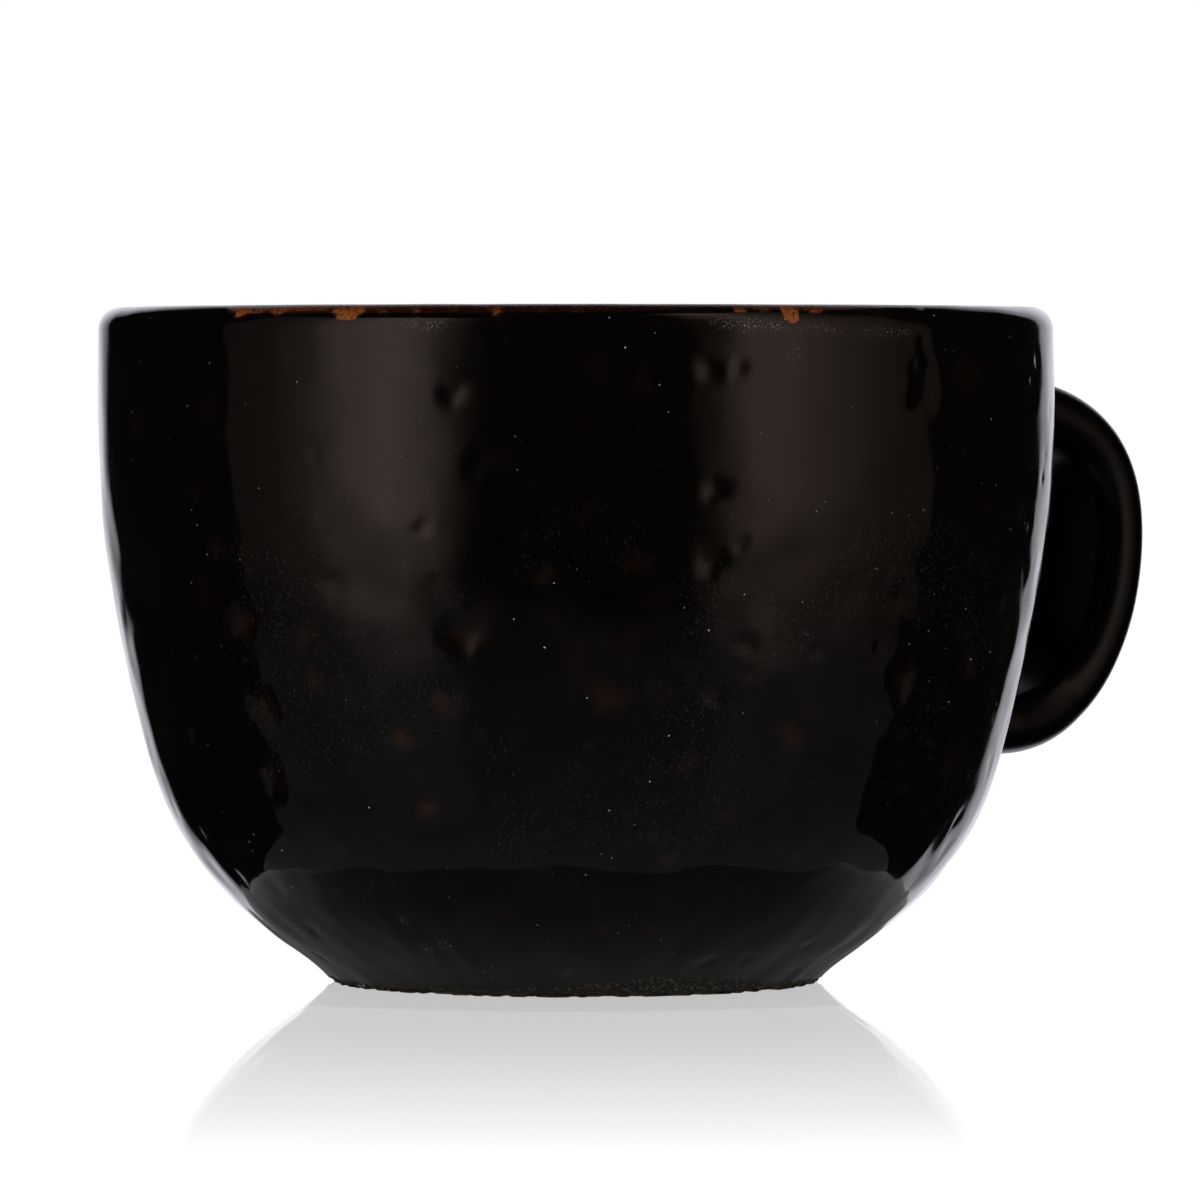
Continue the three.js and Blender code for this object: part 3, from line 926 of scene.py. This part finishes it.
handle_over = strap_rows(GLAZE, CROWN, ROOT_SINK)
handle_under = strap_rows(0, 0, ROOT_SINK)
handle_glaze = skin("handle_coat", np.concatenate([handle_over, handle_under[::-1]]))
strap = strap_rows(-STRAP_GAP, 0, CLAY_DEPTH)
strap_clay = skin("strap_clay", strap[1:-1], False)
upper_slip = skin("upper_slip", strap[:2], False)
lower_slip = skin("lower_slip", strap[-2:], False)

# %% [markdown]
# ## Finishes shared by several pieces
# Four coats wear the same glaze, so what they share is built once as node groups: the black depth
# with its brown breaks and specks, and the rust on the lip. Two clays share a grain in the same way.
# A group only hands out colours and values; the shader itself stays in each material.

# %% Groups of nodes
COLOUR = "NodeSocketColor"
VALUE = "NodeSocketFloat"
FINISH = (("Color", COLOUR), ("Roughness", VALUE), ("Height", VALUE))


def new_group(name, inputs):
    """A group that takes the inputs and has the three outputs of a finish."""
    group = bpy.data.node_groups.new(name, "ShaderNodeTree")
    for label, kind, value in inputs:
        socket = group.interface.new_socket(name=label, in_out="INPUT", socket_type=kind)
        socket.default_value = value
    for label, kind in FINISH:
        group.interface.new_socket(name=label, in_out="OUTPUT", socket_type=kind)
    return group, group.nodes.new("NodeGroupInput").outputs, group.nodes.new("NodeGroupOutput").inputs


def hand_out(group, result, *values):
    for (label, _), value in zip(FINISH, values):
        group.links.new(value, result[label])


def place_group(tree, group):
    node = tree.nodes.new("ShaderNodeGroup")
    node.node_tree = group
    return node


print("groups hand out", ", ".join(label for label, _ in FINISH))

# %% [markdown]
# The finishes are procedural, so that they need no pictures and no unwrapping. Noise and cells follow
# the object's own coordinates, and the values painted on the points of a mesh are read by name.

# %% Textures
def place(tree):
    return tree.nodes.new("ShaderNodeTexCoord").outputs["Object"]


def noise(tree, scale, detail=2.0, roughness=0.5):
    node = tree.nodes.new("ShaderNodeTexNoise")
    node.inputs["Scale"].default_value = scale
    node.inputs["Detail"].default_value = detail
    node.inputs["Roughness"].default_value = roughness
    tree.links.new(place(tree), node.inputs["Vector"])
    return node.outputs["Fac"]


def cells(tree, scale):
    node = tree.nodes.new("ShaderNodeTexVoronoi")
    node.inputs["Scale"].default_value = scale
    tree.links.new(place(tree), node.inputs["Vector"])
    return node.outputs


def height_of(tree):
    node = tree.nodes.new("ShaderNodeSeparateXYZ")
    tree.links.new(place(tree), node.inputs["Vector"])
    return node.outputs["Z"]


def painted(tree, name):
    node = tree.nodes.new("ShaderNodeAttribute")
    node.attribute_name = name
    return node.outputs["Fac"]


print("texture helpers ready")

# %% [markdown]
# Masks are cut out of the textures by a smooth step between two values, and then added up and
# multiplied. A blend of two colours takes a mask as its factor.

# %% Sums and blends
def math_node(tree, operation, first, second=0.0):
    node = tree.nodes.new("ShaderNodeMath")
    node.operation = operation
    for socket, value in zip(node.inputs, (first, second)):
        if isinstance(value, (int, float)):
            socket.default_value = value
        else:
            tree.links.new(value, socket)
    return node.outputs[0]


def times(tree, value, *others):
    for other in others:
        value = math_node(tree, "MULTIPLY", value, other)
    return value


def plus(tree, value, *others):
    for other in others:
        value = math_node(tree, "ADD", value, other)
    return value


def between(tree, value, low, high, to_low=0.0, to_high=1.0):
    node = tree.nodes.new("ShaderNodeMapRange")
    node.interpolation_type = "SMOOTHSTEP"
    settings = {"From Min": low, "From Max": high, "To Min": to_low, "To Max": to_high}
    for label, number in settings.items():
        node.inputs[label].default_value = number
    tree.links.new(value, node.inputs["Value"])
    return node.outputs["Result"]


def blend_colour(tree, factor, first, second):
    node = tree.nodes.new("ShaderNodeMix")
    node.data_type = "RGBA"
    for socket, value in zip((node.inputs[0], node.inputs[6], node.inputs[7]), (factor, first, second)):
        if isinstance(value, bpy.types.NodeSocket):
            tree.links.new(value, socket)
        else:
            socket.default_value = value
    return node.outputs[2]


print("sums and blends ready")

# %% [markdown]
# The glaze is almost black, but thin places let the brown clay glow through: soft clouds a few
# millimetres wide, and the floors of the pits. Pale ragged specks are painted glints, light caught
# by undissolved crystals, and finer crystals lie in it as clouds of grey dust, which are thicker low
# on the wall.

# %% Brown breaks, specks and dust
CLOUD_SHARE = 0.13
DUST_HEIGHTS = (46 * MM, 60 * MM)
DUST_ABOVE = 0.3
SPECK_CELLS = 560
SPECK_RAGGED = 0.03


def brown_breaks(group, fine, breaking):
    clouds = between(group, noise(group, 170, 3.0, 0.55), 0.50, 0.76)
    mottle = between(group, fine, 0.25, 0.7, 0.3, 0.6)
    pits = times(group, painted(group, "pit_brown"), mottle)
    breaks = times(group, plus(group, times(group, clouds, CLOUD_SHARE), pits), breaking)
    return math_node(group, "MINIMUM", breaks, 1.0)


# Painted glints: rare pale ragged dots in patches, standing for light caught by tiny crystals.
def glint_specks(group, amount):
    dots = cells(group, SPECK_CELLS)
    rare = between(group, dots["Color"], 0.47, 0.49)
    ragged_edge = between(group, noise(group, 4600, 2.0, 0.7), 0.3, 0.7, -SPECK_RAGGED, SPECK_RAGGED)
    dot = between(group, plus(group, dots["Distance"], ragged_edge), 0.022, 0.05, 1.0, 0.0)
    patches = between(group, noise(group, 45, 1.0), 0.40, 0.66, 0.2, 1.0)
    return times(group, rare, dot, patches, amount)


def grey_dust(group, amount):
    grains = between(group, noise(group, 3000, 2.0, 0.6), 0.55, 0.74)
    settled = between(group, height_of(group), DUST_HEIGHTS[0], DUST_HEIGHTS[1], 1.0, DUST_ABOVE)
    clouds = between(group, noise(group, 75, 2.0), 0.40, 0.66)
    return times(group, grains, settled, clouds, amount)


print("brown breaks, specks and dust ready")

# %% [markdown]
# The drifts of crystals and the crust at the foot were painted on the meshes, and get their flakes
# and crumbs here. The crust is dull and rough, and a fine grain keeps the rest of the glaze from
# being a perfect mirror.

# %% Glaze depth group
DARK = (0.0012, 0.0009, 0.0007, 1)
BROWN = (0.019, 0.0080, 0.0042, 1)
# The specks' pale colour is painted light: glints on tiny crystals.
GLINT_SPECK = (0.46, 0.45, 0.43, 1)
PALE = (0.21, 0.175, 0.13, 1)
DUST = (0.012, 0.0132, 0.015, 1)
CRUST_DARK = (0.0045, 0.0032, 0.0022, 1)
CRUST_TAN = (0.055, 0.041, 0.024, 1)
PALE_DULL = 0.4
CRUST_DULL = 0.6
CRUST_ROUGH = 12.0


def glaze_depth_group():
    inputs = [("Dark", COLOUR, DARK), ("Brown", COLOUR, BROWN)]
    inputs += [("Breaking", VALUE, 1.0), ("Specks", VALUE, 1.0)]
    group, given, result = new_group("glaze_depth", inputs)
    fine = noise(group, 1500, 3.0, 0.6)
    breaks = brown_breaks(group, fine, given["Breaking"])
    dust = grey_dust(group, given["Specks"])
    specks = glint_specks(group, given["Specks"])
    flakes = between(group, noise(group, 4600, 2.0, 0.7), 0.54, 0.68)
    drifts = times(group, flakes, painted(group, "crystals"))
    ragged = plus(group, times(group, fine, 0.6), noise(group, 420, 2.0))
    crust = between(group, plus(group, painted(group, "crust"), ragged), 1.15, 1.45)
    crumbs = between(group, noise(group, 2300, 2.0, 0.6), 0.50, 0.70)
    colour = blend_colour(group, breaks, given["Dark"], given["Brown"])
    colour = blend_colour(group, dust, colour, DUST)
    # The pale specks laid over the glaze here are painted glints.
    colour = blend_colour(group, specks, colour, GLINT_SPECK)
    colour = blend_colour(group, drifts, colour, PALE)
    crust_colour = blend_colour(group, crumbs, CRUST_DARK, CRUST_TAN)
    colour = blend_colour(group, crust, colour, crust_colour)
    pale = math_node(group, "MAXIMUM", specks, drifts)
    haze = between(group, noise(group, 260, 2.0), 0.3, 0.75, 0.045, 0.10)
    dull = plus(group, haze, times(group, pale, PALE_DULL), times(group, crust, CRUST_DULL))
    grain = plus(group, times(group, fine, 0.5), noise(group, 520, 2.0), pale)
    height = plus(group, grain, times(group, crust, crumbs, CRUST_ROUGH))
    hand_out(group, result, colour, dull, height)
    return group


GLAZE_DEPTH = glaze_depth_group()
print(f"glaze depth group of {len(GLAZE_DEPTH.nodes)} nodes")

# %% [markdown]
# On the lip the glaze breaks to rust in gritty patches. The patches were painted on the meshes; the
# group gives them their grit and their colours, deep red where they are weak and orange where strong.

# %% Lip break group
RUST_DEEP = (0.020, 0.0023, 0.0004, 1)
RUST_BRIGHT = (0.19, 0.049, 0.006, 1)
RUST_GRIT = 1.1
RUST_DULL = 0.12


def lip_break_group():
    inputs = [("Color", COLOUR, DARK), ("Roughness", VALUE, 0.08)]
    group, given, result = new_group("lip_break", inputs)
    gritty = noise(group, 4000, 2.0, 0.65)
    amount = painted(group, "rust")
    rust = between(group, plus(group, amount, times(group, gritty, RUST_GRIT)), 1.08, 1.40)
    tone = between(group, noise(group, 3200, 3.0, 0.6), 0.30, 0.58)
    tone = times(group, tone, between(group, amount, 0.72, 1.0))
    rust_colour = blend_colour(group, tone, RUST_DEEP, RUST_BRIGHT)
    colour = blend_colour(group, rust, given["Color"], rust_colour)
    dull = plus(group, given["Roughness"], times(group, rust, RUST_DULL))
    hand_out(group, result, colour, dull, times(group, rust, gritty))
    return group


LIP_BREAK = lip_break_group()
print(f"lip break group of {len(LIP_BREAK.nodes)} nodes")

# %% [markdown]
# The wall, the lip, the inside and the handle then get their own materials from these groups. The
# handle's glaze is made darker than the bowl's, with hardly any brown, and it is duller.

# %% Glaze materials
GLAZE_IOR = 1.5
LIP_BUMPS = 6.0
HANDLE_DARK = (0.0007, 0.0006, 0.0006, 1)


def new_material(name):
    material = bpy.data.materials.new(name)
    material.use_nodes = True
    return material, material.node_tree


def wear(tree, colour, roughness, height, bump):
    """Gives the material's shader a finish, with its height as bumps, and returns the shader."""
    shader = tree.nodes["Principled BSDF"]
    bumps = tree.nodes.new("ShaderNodeBump")
    bumps.inputs["Distance"].default_value = bump
    tree.links.new(height, bumps.inputs["Height"])
    tree.links.new(colour, shader.inputs["Base Color"])
    tree.links.new(roughness, shader.inputs["Roughness"])
    tree.links.new(bumps.outputs["Normal"], shader.inputs["Normal"])
    return shader


def glaze_material(name, breaking, specks, bump, at_lip=False, dark=DARK, dull=0.0, shine=0.5):
    material, tree = new_material(name)
    depth = place_group(tree, GLAZE_DEPTH)
    depth.inputs["Dark"].default_value = dark
    depth.inputs["Breaking"].default_value = breaking
    depth.inputs["Specks"].default_value = specks
    colour, roughness, height = (depth.outputs[label] for label, _ in FINISH)
    if at_lip:
        lip = place_group(tree, LIP_BREAK)
        tree.links.new(colour, lip.inputs["Color"])
        tree.links.new(roughness, lip.inputs["Roughness"])
        colour, roughness = lip.outputs["Color"], lip.outputs["Roughness"]
        height = plus(tree, height, times(tree, lip.outputs["Height"], LIP_BUMPS))
    if dull:
        roughness = plus(tree, roughness, dull)
    shader = wear(tree, colour, roughness, height, bump)
    shader.inputs["IOR"].default_value = GLAZE_IOR
    shader.inputs["Specular IOR Level"].default_value = shine
    return material


WALL_FINISH = glaze_material("iron_glaze", 1.0, 1.0, 0.006 * MM, at_lip=True)
LIP_FINISH = glaze_material("rust_glaze", 1.0, 0.5, 0.006 * MM, at_lip=True)
INSIDE_FINISH = glaze_material("lining_glaze", 0.5, 0.5, 0.004 * MM)
HANDLE_FINISH = glaze_material(
    "strap_glaze", 0.05, 0.0, 0.002 * MM, dark=HANDLE_DARK, dull=0.2, shine=0.33)
print("four glaze materials ready")

# %% [markdown]
# The clay under the glaze is a coarse brown stoneware. It shows on the foot, dull and gritty, with
# pale sand and dark iron in it. The slip that joins the handle is the same clay, only finer.

# %% Clay group and materials
CLAY = (0.050, 0.034, 0.021, 1)
CLAY_DARK = (0.010, 0.007, 0.005, 1)
SAND = (0.20, 0.16, 0.105, 1)
SLIP_CLAY = (0.185, 0.115, 0.068, 1)
SAND_CELLS = 1100


def clay_grain_group():
    inputs = [("Clay", COLOUR, CLAY), ("Iron", COLOUR, CLAY_DARK), ("Sand", VALUE, 1.0)]
    group, given, result = new_group("clay_grain", inputs)
    burnt = between(group, noise(group, 420, 4.0, 0.65), 0.36, 0.62)
    colour = blend_colour(group, burnt, given["Iron"], given["Clay"])
    grains = cells(group, SAND_CELLS)
    pale = between(group, grains["Color"], 0.74, 0.78)
    grain = between(group, grains["Distance"], 0.22, 0.42, 1.0, 0.0)
    sand = times(group, pale, grain, given["Sand"])
    colour = blend_colour(group, sand, colour, SAND)
    dull = between(group, noise(group, 900, 2.0), 0.3, 0.7, 0.72, 0.95)
    pores = noise(group, 1700, 3.0, 0.7)
    hand_out(group, result, colour, dull, plus(group, pores, sand))
    return group


CLAY_GRAIN = clay_grain_group()


def clay_material(name, clay, sand, bump):
    material, tree = new_material(name)
    grain = place_group(tree, CLAY_GRAIN)
    grain.inputs["Clay"].default_value = clay
    grain.inputs["Sand"].default_value = sand
    wear(tree, *(grain.outputs[label] for label, _ in FINISH), bump)
    return material


CLAY_FINISH = clay_material("raw_clay", CLAY, 1.0, 0.12 * MM)
SLIP_FINISH = clay_material("slip", SLIP_CLAY, 0.2, 0.04 * MM)
print("two clay materials ready")

# %% [markdown]
# ## Assembly
# Each new piece takes its finish and rides on the one body of the mug, and the node of the frame that
# it refines is hidden.

# %% Assembly
def dress(piece, material, node):
    piece.data.materials.clear()
    piece.data.materials.append(material)
    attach(piece, "root")
    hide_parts(node)


dress(wall_glaze, WALL_FINISH, "outer_glaze")
dress(lip_glaze, LIP_FINISH, "rim_glaze")
dress(inside_glaze, INSIDE_FINISH, "inner_glaze")
dress(handle_glaze, HANDLE_FINISH, "handle_glaze")
dress(bowl_clay, CLAY_FINISH, "bowl_body")
dress(strap_clay, CLAY_FINISH, "handle")
dress(upper_slip, SLIP_FINISH, "upper_slip_joint")
dress(lower_slip, SLIP_FINISH, "lower_slip_joint")
print("eight pieces dressed")

# %% [markdown]
# ## Studio
# A black glaze is a mirror, so it is lit by what it reflects. The world is plain white. Dark screens
# that only reflections can see stand round the mug, with two soft panels at the sides of the camera
# and a bright backdrop behind, which shows along the mug's edges.

# %% World
scene = bpy.context.scene
scene.view_settings.view_transform = "Standard"
world = bpy.data.worlds.new("white_studio")
world.use_nodes = True
world.node_tree.nodes["Background"].inputs["Color"].default_value = (1, 1, 1, 1)
world.node_tree.nodes["Background"].inputs["Strength"].default_value = 1.0
scene.world = world
print("white world ready")

# %% [markdown]
# The table is a white sheet that glows by itself up to plain white, takes a faint shadow, and mirrors
# the mug close to its foot. Reflections in the glaze don't see it: two dim sheets, made last, stand
# for it there.

# %% Table
TABLE_RADIUS = 5.0
TABLE_GLOW = 0.985
TABLE_PAPER = 0.07
MIRROR = 0.470
MIRROR_REACH = (0.042, 0.230)
MIRROR_FADE = 1.6
MIRROR_BLUR = 0.02


def disc(name, radius, height, steps=96):
    angle = np.arange(steps) * 2 * math.pi / steps
    across, along = AXIS_X + radius * np.cos(angle), radius * np.sin(angle)
    points = np.stack([across, along, np.full(steps, height)], -1)
    return mesh_object(name, points.tolist(), [list(range(steps))])


def from_axis(tree):
    """Distance of a place on the table from the mug's axis."""
    apart = tree.nodes.new("ShaderNodeVectorMath")
    apart.operation = "DISTANCE"
    apart.inputs[1].default_value = bowl_axis
    tree.links.new(place(tree), apart.inputs[0])
    return apart.outputs["Value"]


def table_material():
    """A white sheet lit through from below, whose mirror fades away from the mug."""
    material, tree = new_material("white_table")
    tree.nodes.clear()
    reach = tree.nodes.new("ShaderNodeMapRange")
    reach.inputs["From Min"].default_value = MIRROR_REACH[0]
    reach.inputs["From Max"].default_value = MIRROR_REACH[1]
    tree.links.new(from_axis(tree), reach.inputs["Value"])
    faded = math_node(tree, "POWER", reach.outputs["Result"], MIRROR_FADE)
    mirror = times(tree, math_node(tree, "SUBTRACT", 1.0, faded), MIRROR)
    glow = tree.nodes.new("ShaderNodeEmission")
    glow.inputs["Strength"].default_value = TABLE_GLOW
    paper = tree.nodes.new("ShaderNodeBsdfDiffuse")
    paper.inputs["Color"].default_value = (TABLE_PAPER,) * 3 + (1,)
    sheet = tree.nodes.new("ShaderNodeAddShader")
    tree.links.new(glow.outputs[0], sheet.inputs[0])
    tree.links.new(paper.outputs[0], sheet.inputs[1])
    gloss = tree.nodes.new("ShaderNodeBsdfGlossy")
    gloss.inputs["Color"].default_value = (1, 1, 1, 1)
    gloss.inputs["Roughness"].default_value = MIRROR_BLUR
    mix = tree.nodes.new("ShaderNodeMixShader")
    tree.links.new(mirror, mix.inputs[0])
    tree.links.new(sheet.outputs[0], mix.inputs[1])
    tree.links.new(gloss.outputs[0], mix.inputs[2])
    output = tree.nodes.new("ShaderNodeOutputMaterial")
    tree.links.new(mix.outputs[0], output.inputs["Surface"])
    return material


table = disc("white_table", TABLE_RADIUS, 0)
table.data.materials.append(table_material())
table.visible_glossy = False
print("table ready")

# %% [markdown]
# The screens are curved walls far round the mug, closed above and below. Their dark cloth gives
# hardly any light. They leave a gap at the back, with a valance above it, for the backdrop.

# %% Dark screens
SCREEN_RADIUS = 6.0
SCREEN_LOW = -6.0
SCREEN_HIGH = 13.0
BACKDROP = (148, 208)
BACKDROP_HIGH = 5.2
CLOTH_GREY = 0.004


def only_in_reflections(thing):
    thing.visible_camera = False
    thing.visible_diffuse = False
    thing.visible_shadow = False
    thing.visible_volume_scatter = False


def screen(name, degrees, radius, low, high, steps=120):
    """A curved wall, with its width and its rise from low to the table kept as a map."""
    angle = FRONT + np.radians(np.linspace(degrees[0], degrees[1], steps))
    ring = np.stack([AXIS_X + radius * np.cos(angle), radius * np.sin(angle)], -1)
    points = [(x, y, low) for x, y in ring] + [(x, y, high) for x, y in ring]
    faces = [(i, i + 1, steps + i + 1, steps + i) for i in range(steps - 1)]
    wall = mesh_object(name, points, faces)
    places = wall.data.uv_layers.new(name="width")
    for loop in wall.data.loops:
        upper = loop.vertex_index // steps
        column = loop.vertex_index % steps
        places.data[loop.index].uv = (column / (steps - 1), upper * (1 - high / low))
    return wall


def emitter(name, colour, strength=1.0):
    """A material that only gives light, with the nodes that later cells feed."""
    material, tree = new_material(name)
    tree.nodes.clear()
    emission = tree.nodes.new("ShaderNodeEmission")
    emission.inputs["Color"].default_value = colour
    emission.inputs["Strength"].default_value = strength
    output = tree.nodes.new("ShaderNodeOutputMaterial")
    tree.links.new(emission.outputs[0], output.inputs["Surface"])
    material.cycles.emission_sampling = "NONE"
    return material, tree, emission, output


dark_cloth = emitter("dark_cloth", (1, 1, 1, 1), CLOTH_GREY)[0]
dark_things = (
    screen("dark_screen", (BACKDROP[1] - 360, BACKDROP[0]), SCREEN_RADIUS, SCREEN_LOW, SCREEN_HIGH, 240),
    screen("dark_valance", BACKDROP, SCREEN_RADIUS, BACKDROP_HIGH, SCREEN_HIGH),
    disc("dark_floor", SCREEN_RADIUS, SCREEN_LOW),
    disc("dark_ceiling", SCREEN_RADIUS, SCREEN_HIGH),
)
for cloth in dark_things:
    cloth.data.materials.append(dark_cloth)
    only_in_reflections(cloth)
print(f"{len(dark_things)} dark screens ready")

# %% [markdown]
# Each soft panel has one ramp of brightness across its width and another upward. The two panels at
# the sides are brightest about 45 degrees from the camera, fade on both sides of that, and fall off
# below the table's edge. The backdrop fades at its sides and at its top. The ramps are pairs of a
# place and a level.

# %% Soft panels
PANEL_RADIUS = 5.5
BACKDROP_COLOUR = (0.98, 0.99, 1.07, 1)
BACKDROP_RAMP = ((0.0, 0.0), (0.017, 0.34), (0.042, 0.60), (0.1, 0.67), (0.133, 0.72), (0.167, 0.82),
                 (0.192, 0.91), (0.225, 1.0), (0.7, 1.0), (0.8, 0.85), (0.833, 0.75), (0.867, 0.62),
                 (0.9, 0.46), (0.943, 0.30), (0.967, 0.14), (0.983, 0.03), (1.0, 0.0))
BACKDROP_RISE = ((0.0, 1.0), (0.73, 1.0), (0.763, 0.87), (0.845, 0.54), (0.897, 0.27), (0.939, 0.06),
                 (0.985, 0.0))
LEFT_HIGH = 5.0
LEFT_COLOUR = (1.0, 0.77, 0.69, 1)
LEFT_PANEL = (-91.8, -20.0)
LEFT_RAMP = ((0.0, 0.07), (0.2, 0.11), (0.36, 0.27), (0.515, 0.72), (0.65, 0.93), (0.785, 0.62),
             (0.865, 0.20), (0.933, 0.05), (1.0, 0.0))
RIGHT_COLOUR = (1.0, 0.73, 0.63, 1)
RIGHT_PANEL = (27.0, 91.5)
RIGHT_RAMP = ((0.0, 0.0), (0.094, 0.14), (0.17, 0.38), (0.247, 0.62), (0.347, 0.63), (0.49, 0.46),
              (0.662, 0.27), (0.848, 0.14), (1.0, 0.08))
FALL_RAMP = ((0.0, 0.0), (0.175, 0.05), (0.553, 0.088), (0.657, 0.20), (0.702, 0.36), (0.737, 0.50),
             (0.838, 0.80), (0.904, 1.0))


def ramp_node(tree, value, stops):
    node = tree.nodes.new("ShaderNodeValToRGB")
    node.color_ramp.interpolation = "LINEAR"
    for _ in range(len(stops) - 2):
        node.color_ramp.elements.new(0.5)
    for element, (place_on_ramp, level) in zip(node.color_ramp.elements, stops):
        element.position = place_on_ramp
        element.color = (level, level, level, 1)
    tree.links.new(value, node.inputs["Fac"])
    return node.outputs["Color"]


def soft_panel(name, degrees, radius, high, ramps, colour, whole_rise=False):
    """A curved panel whose light follows one ramp across and another upward."""
    panel = screen(name, degrees, radius, SCREEN_LOW, high)
    material, tree, emission, _ = emitter(name + "_light", colour)
    coordinates = tree.nodes.new("ShaderNodeTexCoord")
    split = tree.nodes.new("ShaderNodeSeparateXYZ")
    tree.links.new(coordinates.outputs["UV"], split.inputs[0])
    across, upward = split.outputs["X"], split.outputs["Y"]
    if whole_rise:
        upward = math_node(tree, "DIVIDE", upward, 1 - high / SCREEN_LOW)
    wide, tall = ramp_node(tree, across, ramps[0]), ramp_node(tree, upward, ramps[1])
    tree.links.new(times(tree, wide, tall), emission.inputs["Strength"])
    panel.data.materials.append(material)
    only_in_reflections(panel)


back_ramps = (BACKDROP_RAMP, BACKDROP_RISE)
left_ramps = (LEFT_RAMP, FALL_RAMP)
right_ramps = (RIGHT_RAMP, FALL_RAMP)
soft_panel("backdrop", BACKDROP, SCREEN_RADIUS, BACKDROP_HIGH, back_ramps, BACKDROP_COLOUR, True)
soft_panel("left_panel", LEFT_PANEL, PANEL_RADIUS, LEFT_HIGH, left_ramps, LEFT_COLOUR)
soft_panel("right_panel", RIGHT_PANEL, PANEL_RADIUS, SCREEN_HIGH, right_ramps, RIGHT_COLOUR)
print("backdrop and two soft panels ready")

# %% [markdown]
# The belly of the mug looks down at the table. In front of the mug the table glows dimly, up to its
# edge, and under the bowl it lies in the mug's own shade, which is lighter at the back. Two sheets
# that only reflections see show this. The outline is in millimetres right of the axis and ahead of it.

# %% Glow of the table in reflections
GLOW_SIDE = 0.2
GLOW_COLOUR = (0.97, 1.0, 1.09, 1)
GLOW_OUTLINE = ((200, 178), (200, 36), (80, 32), (65, 27), (56, 27), (54, 22), (52, 14), (49, 8))
GLOW_RAMP = ((0.0, 0.0), (0.2399, 0.0), (0.2424, 0.115), (0.295, 0.09), (0.36, 0.073), (0.5, 0.054),
             (0.66, 0.047), (0.80, 0.028), (0.89, 0.004))
SHADE_RADIUS = 0.0485
SHADE_BELOW = 0.2 * MM
SHADE_FRONT = ((0.0, 0.14), (0.567, 0.14), (0.612, 0.105), (0.66, 0.085), (0.78, 0.065), (1.0, 0.05))
SHADE_BACK = ((0.0, 0.12), (0.53, 0.12), (0.66, 0.11), (0.825, 0.12), (0.95, 0.22), (1.0, 0.32))
SHADE_TURN = (0.010, 0.032)


def ahead_of_axis(tree):
    """Distance of a place on the table towards the camera from the mug's axis."""
    ahead = tree.nodes.new("ShaderNodeVectorMath")
    ahead.operation = "DOT_PRODUCT"
    ahead.inputs[1].default_value = view_back
    tree.links.new(place(tree), ahead.inputs[0])
    return math_node(tree, "SUBTRACT", ahead.outputs["Value"], bowl_axis.dot(view_back))


def table_glow():
    outline = list(GLOW_OUTLINE) + [(-right, ahead) for right, ahead in GLOW_OUTLINE[::-1]]
    points = [bowl_axis + (view_right * right + view_back * ahead) * MM for right, ahead in outline]
    sheet = mesh_object("table_glow", [tuple(point) for point in points], [list(range(len(points)))])
    material, tree, emission, output = emitter("table_glow", GLOW_COLOUR)
    share = math_node(tree, "DIVIDE", from_axis(tree), GLOW_SIDE)
    tree.links.new(ramp_node(tree, share, GLOW_RAMP), emission.inputs["Strength"])
    clear = tree.nodes.new("ShaderNodeBsdfTransparent")
    both = tree.nodes.new("ShaderNodeAddShader")
    tree.links.new(emission.outputs[0], both.inputs[0])
    tree.links.new(clear.outputs[0], both.inputs[1])
    tree.links.new(both.outputs[0], output.inputs["Surface"])
    sheet.data.materials.append(material)
    only_in_reflections(sheet)


def foot_shade():
    plate = disc("foot_shade", SHADE_RADIUS, -SHADE_BELOW)
    material, tree, emission, _ = emitter("foot_shade", (1, 1, 1, 1))
    share = math_node(tree, "DIVIDE", from_axis(tree), SHADE_RADIUS)
    facing = between(tree, ahead_of_axis(tree), *SHADE_TURN)
    back, front = ramp_node(tree, share, SHADE_BACK), ramp_node(tree, share, SHADE_FRONT)
    tree.links.new(blend_colour(tree, facing, back, front), emission.inputs["Strength"])
    plate.data.materials.append(material)
    only_in_reflections(plate)


table_glow()
foot_shade()
print("table glow and foot shade ready")
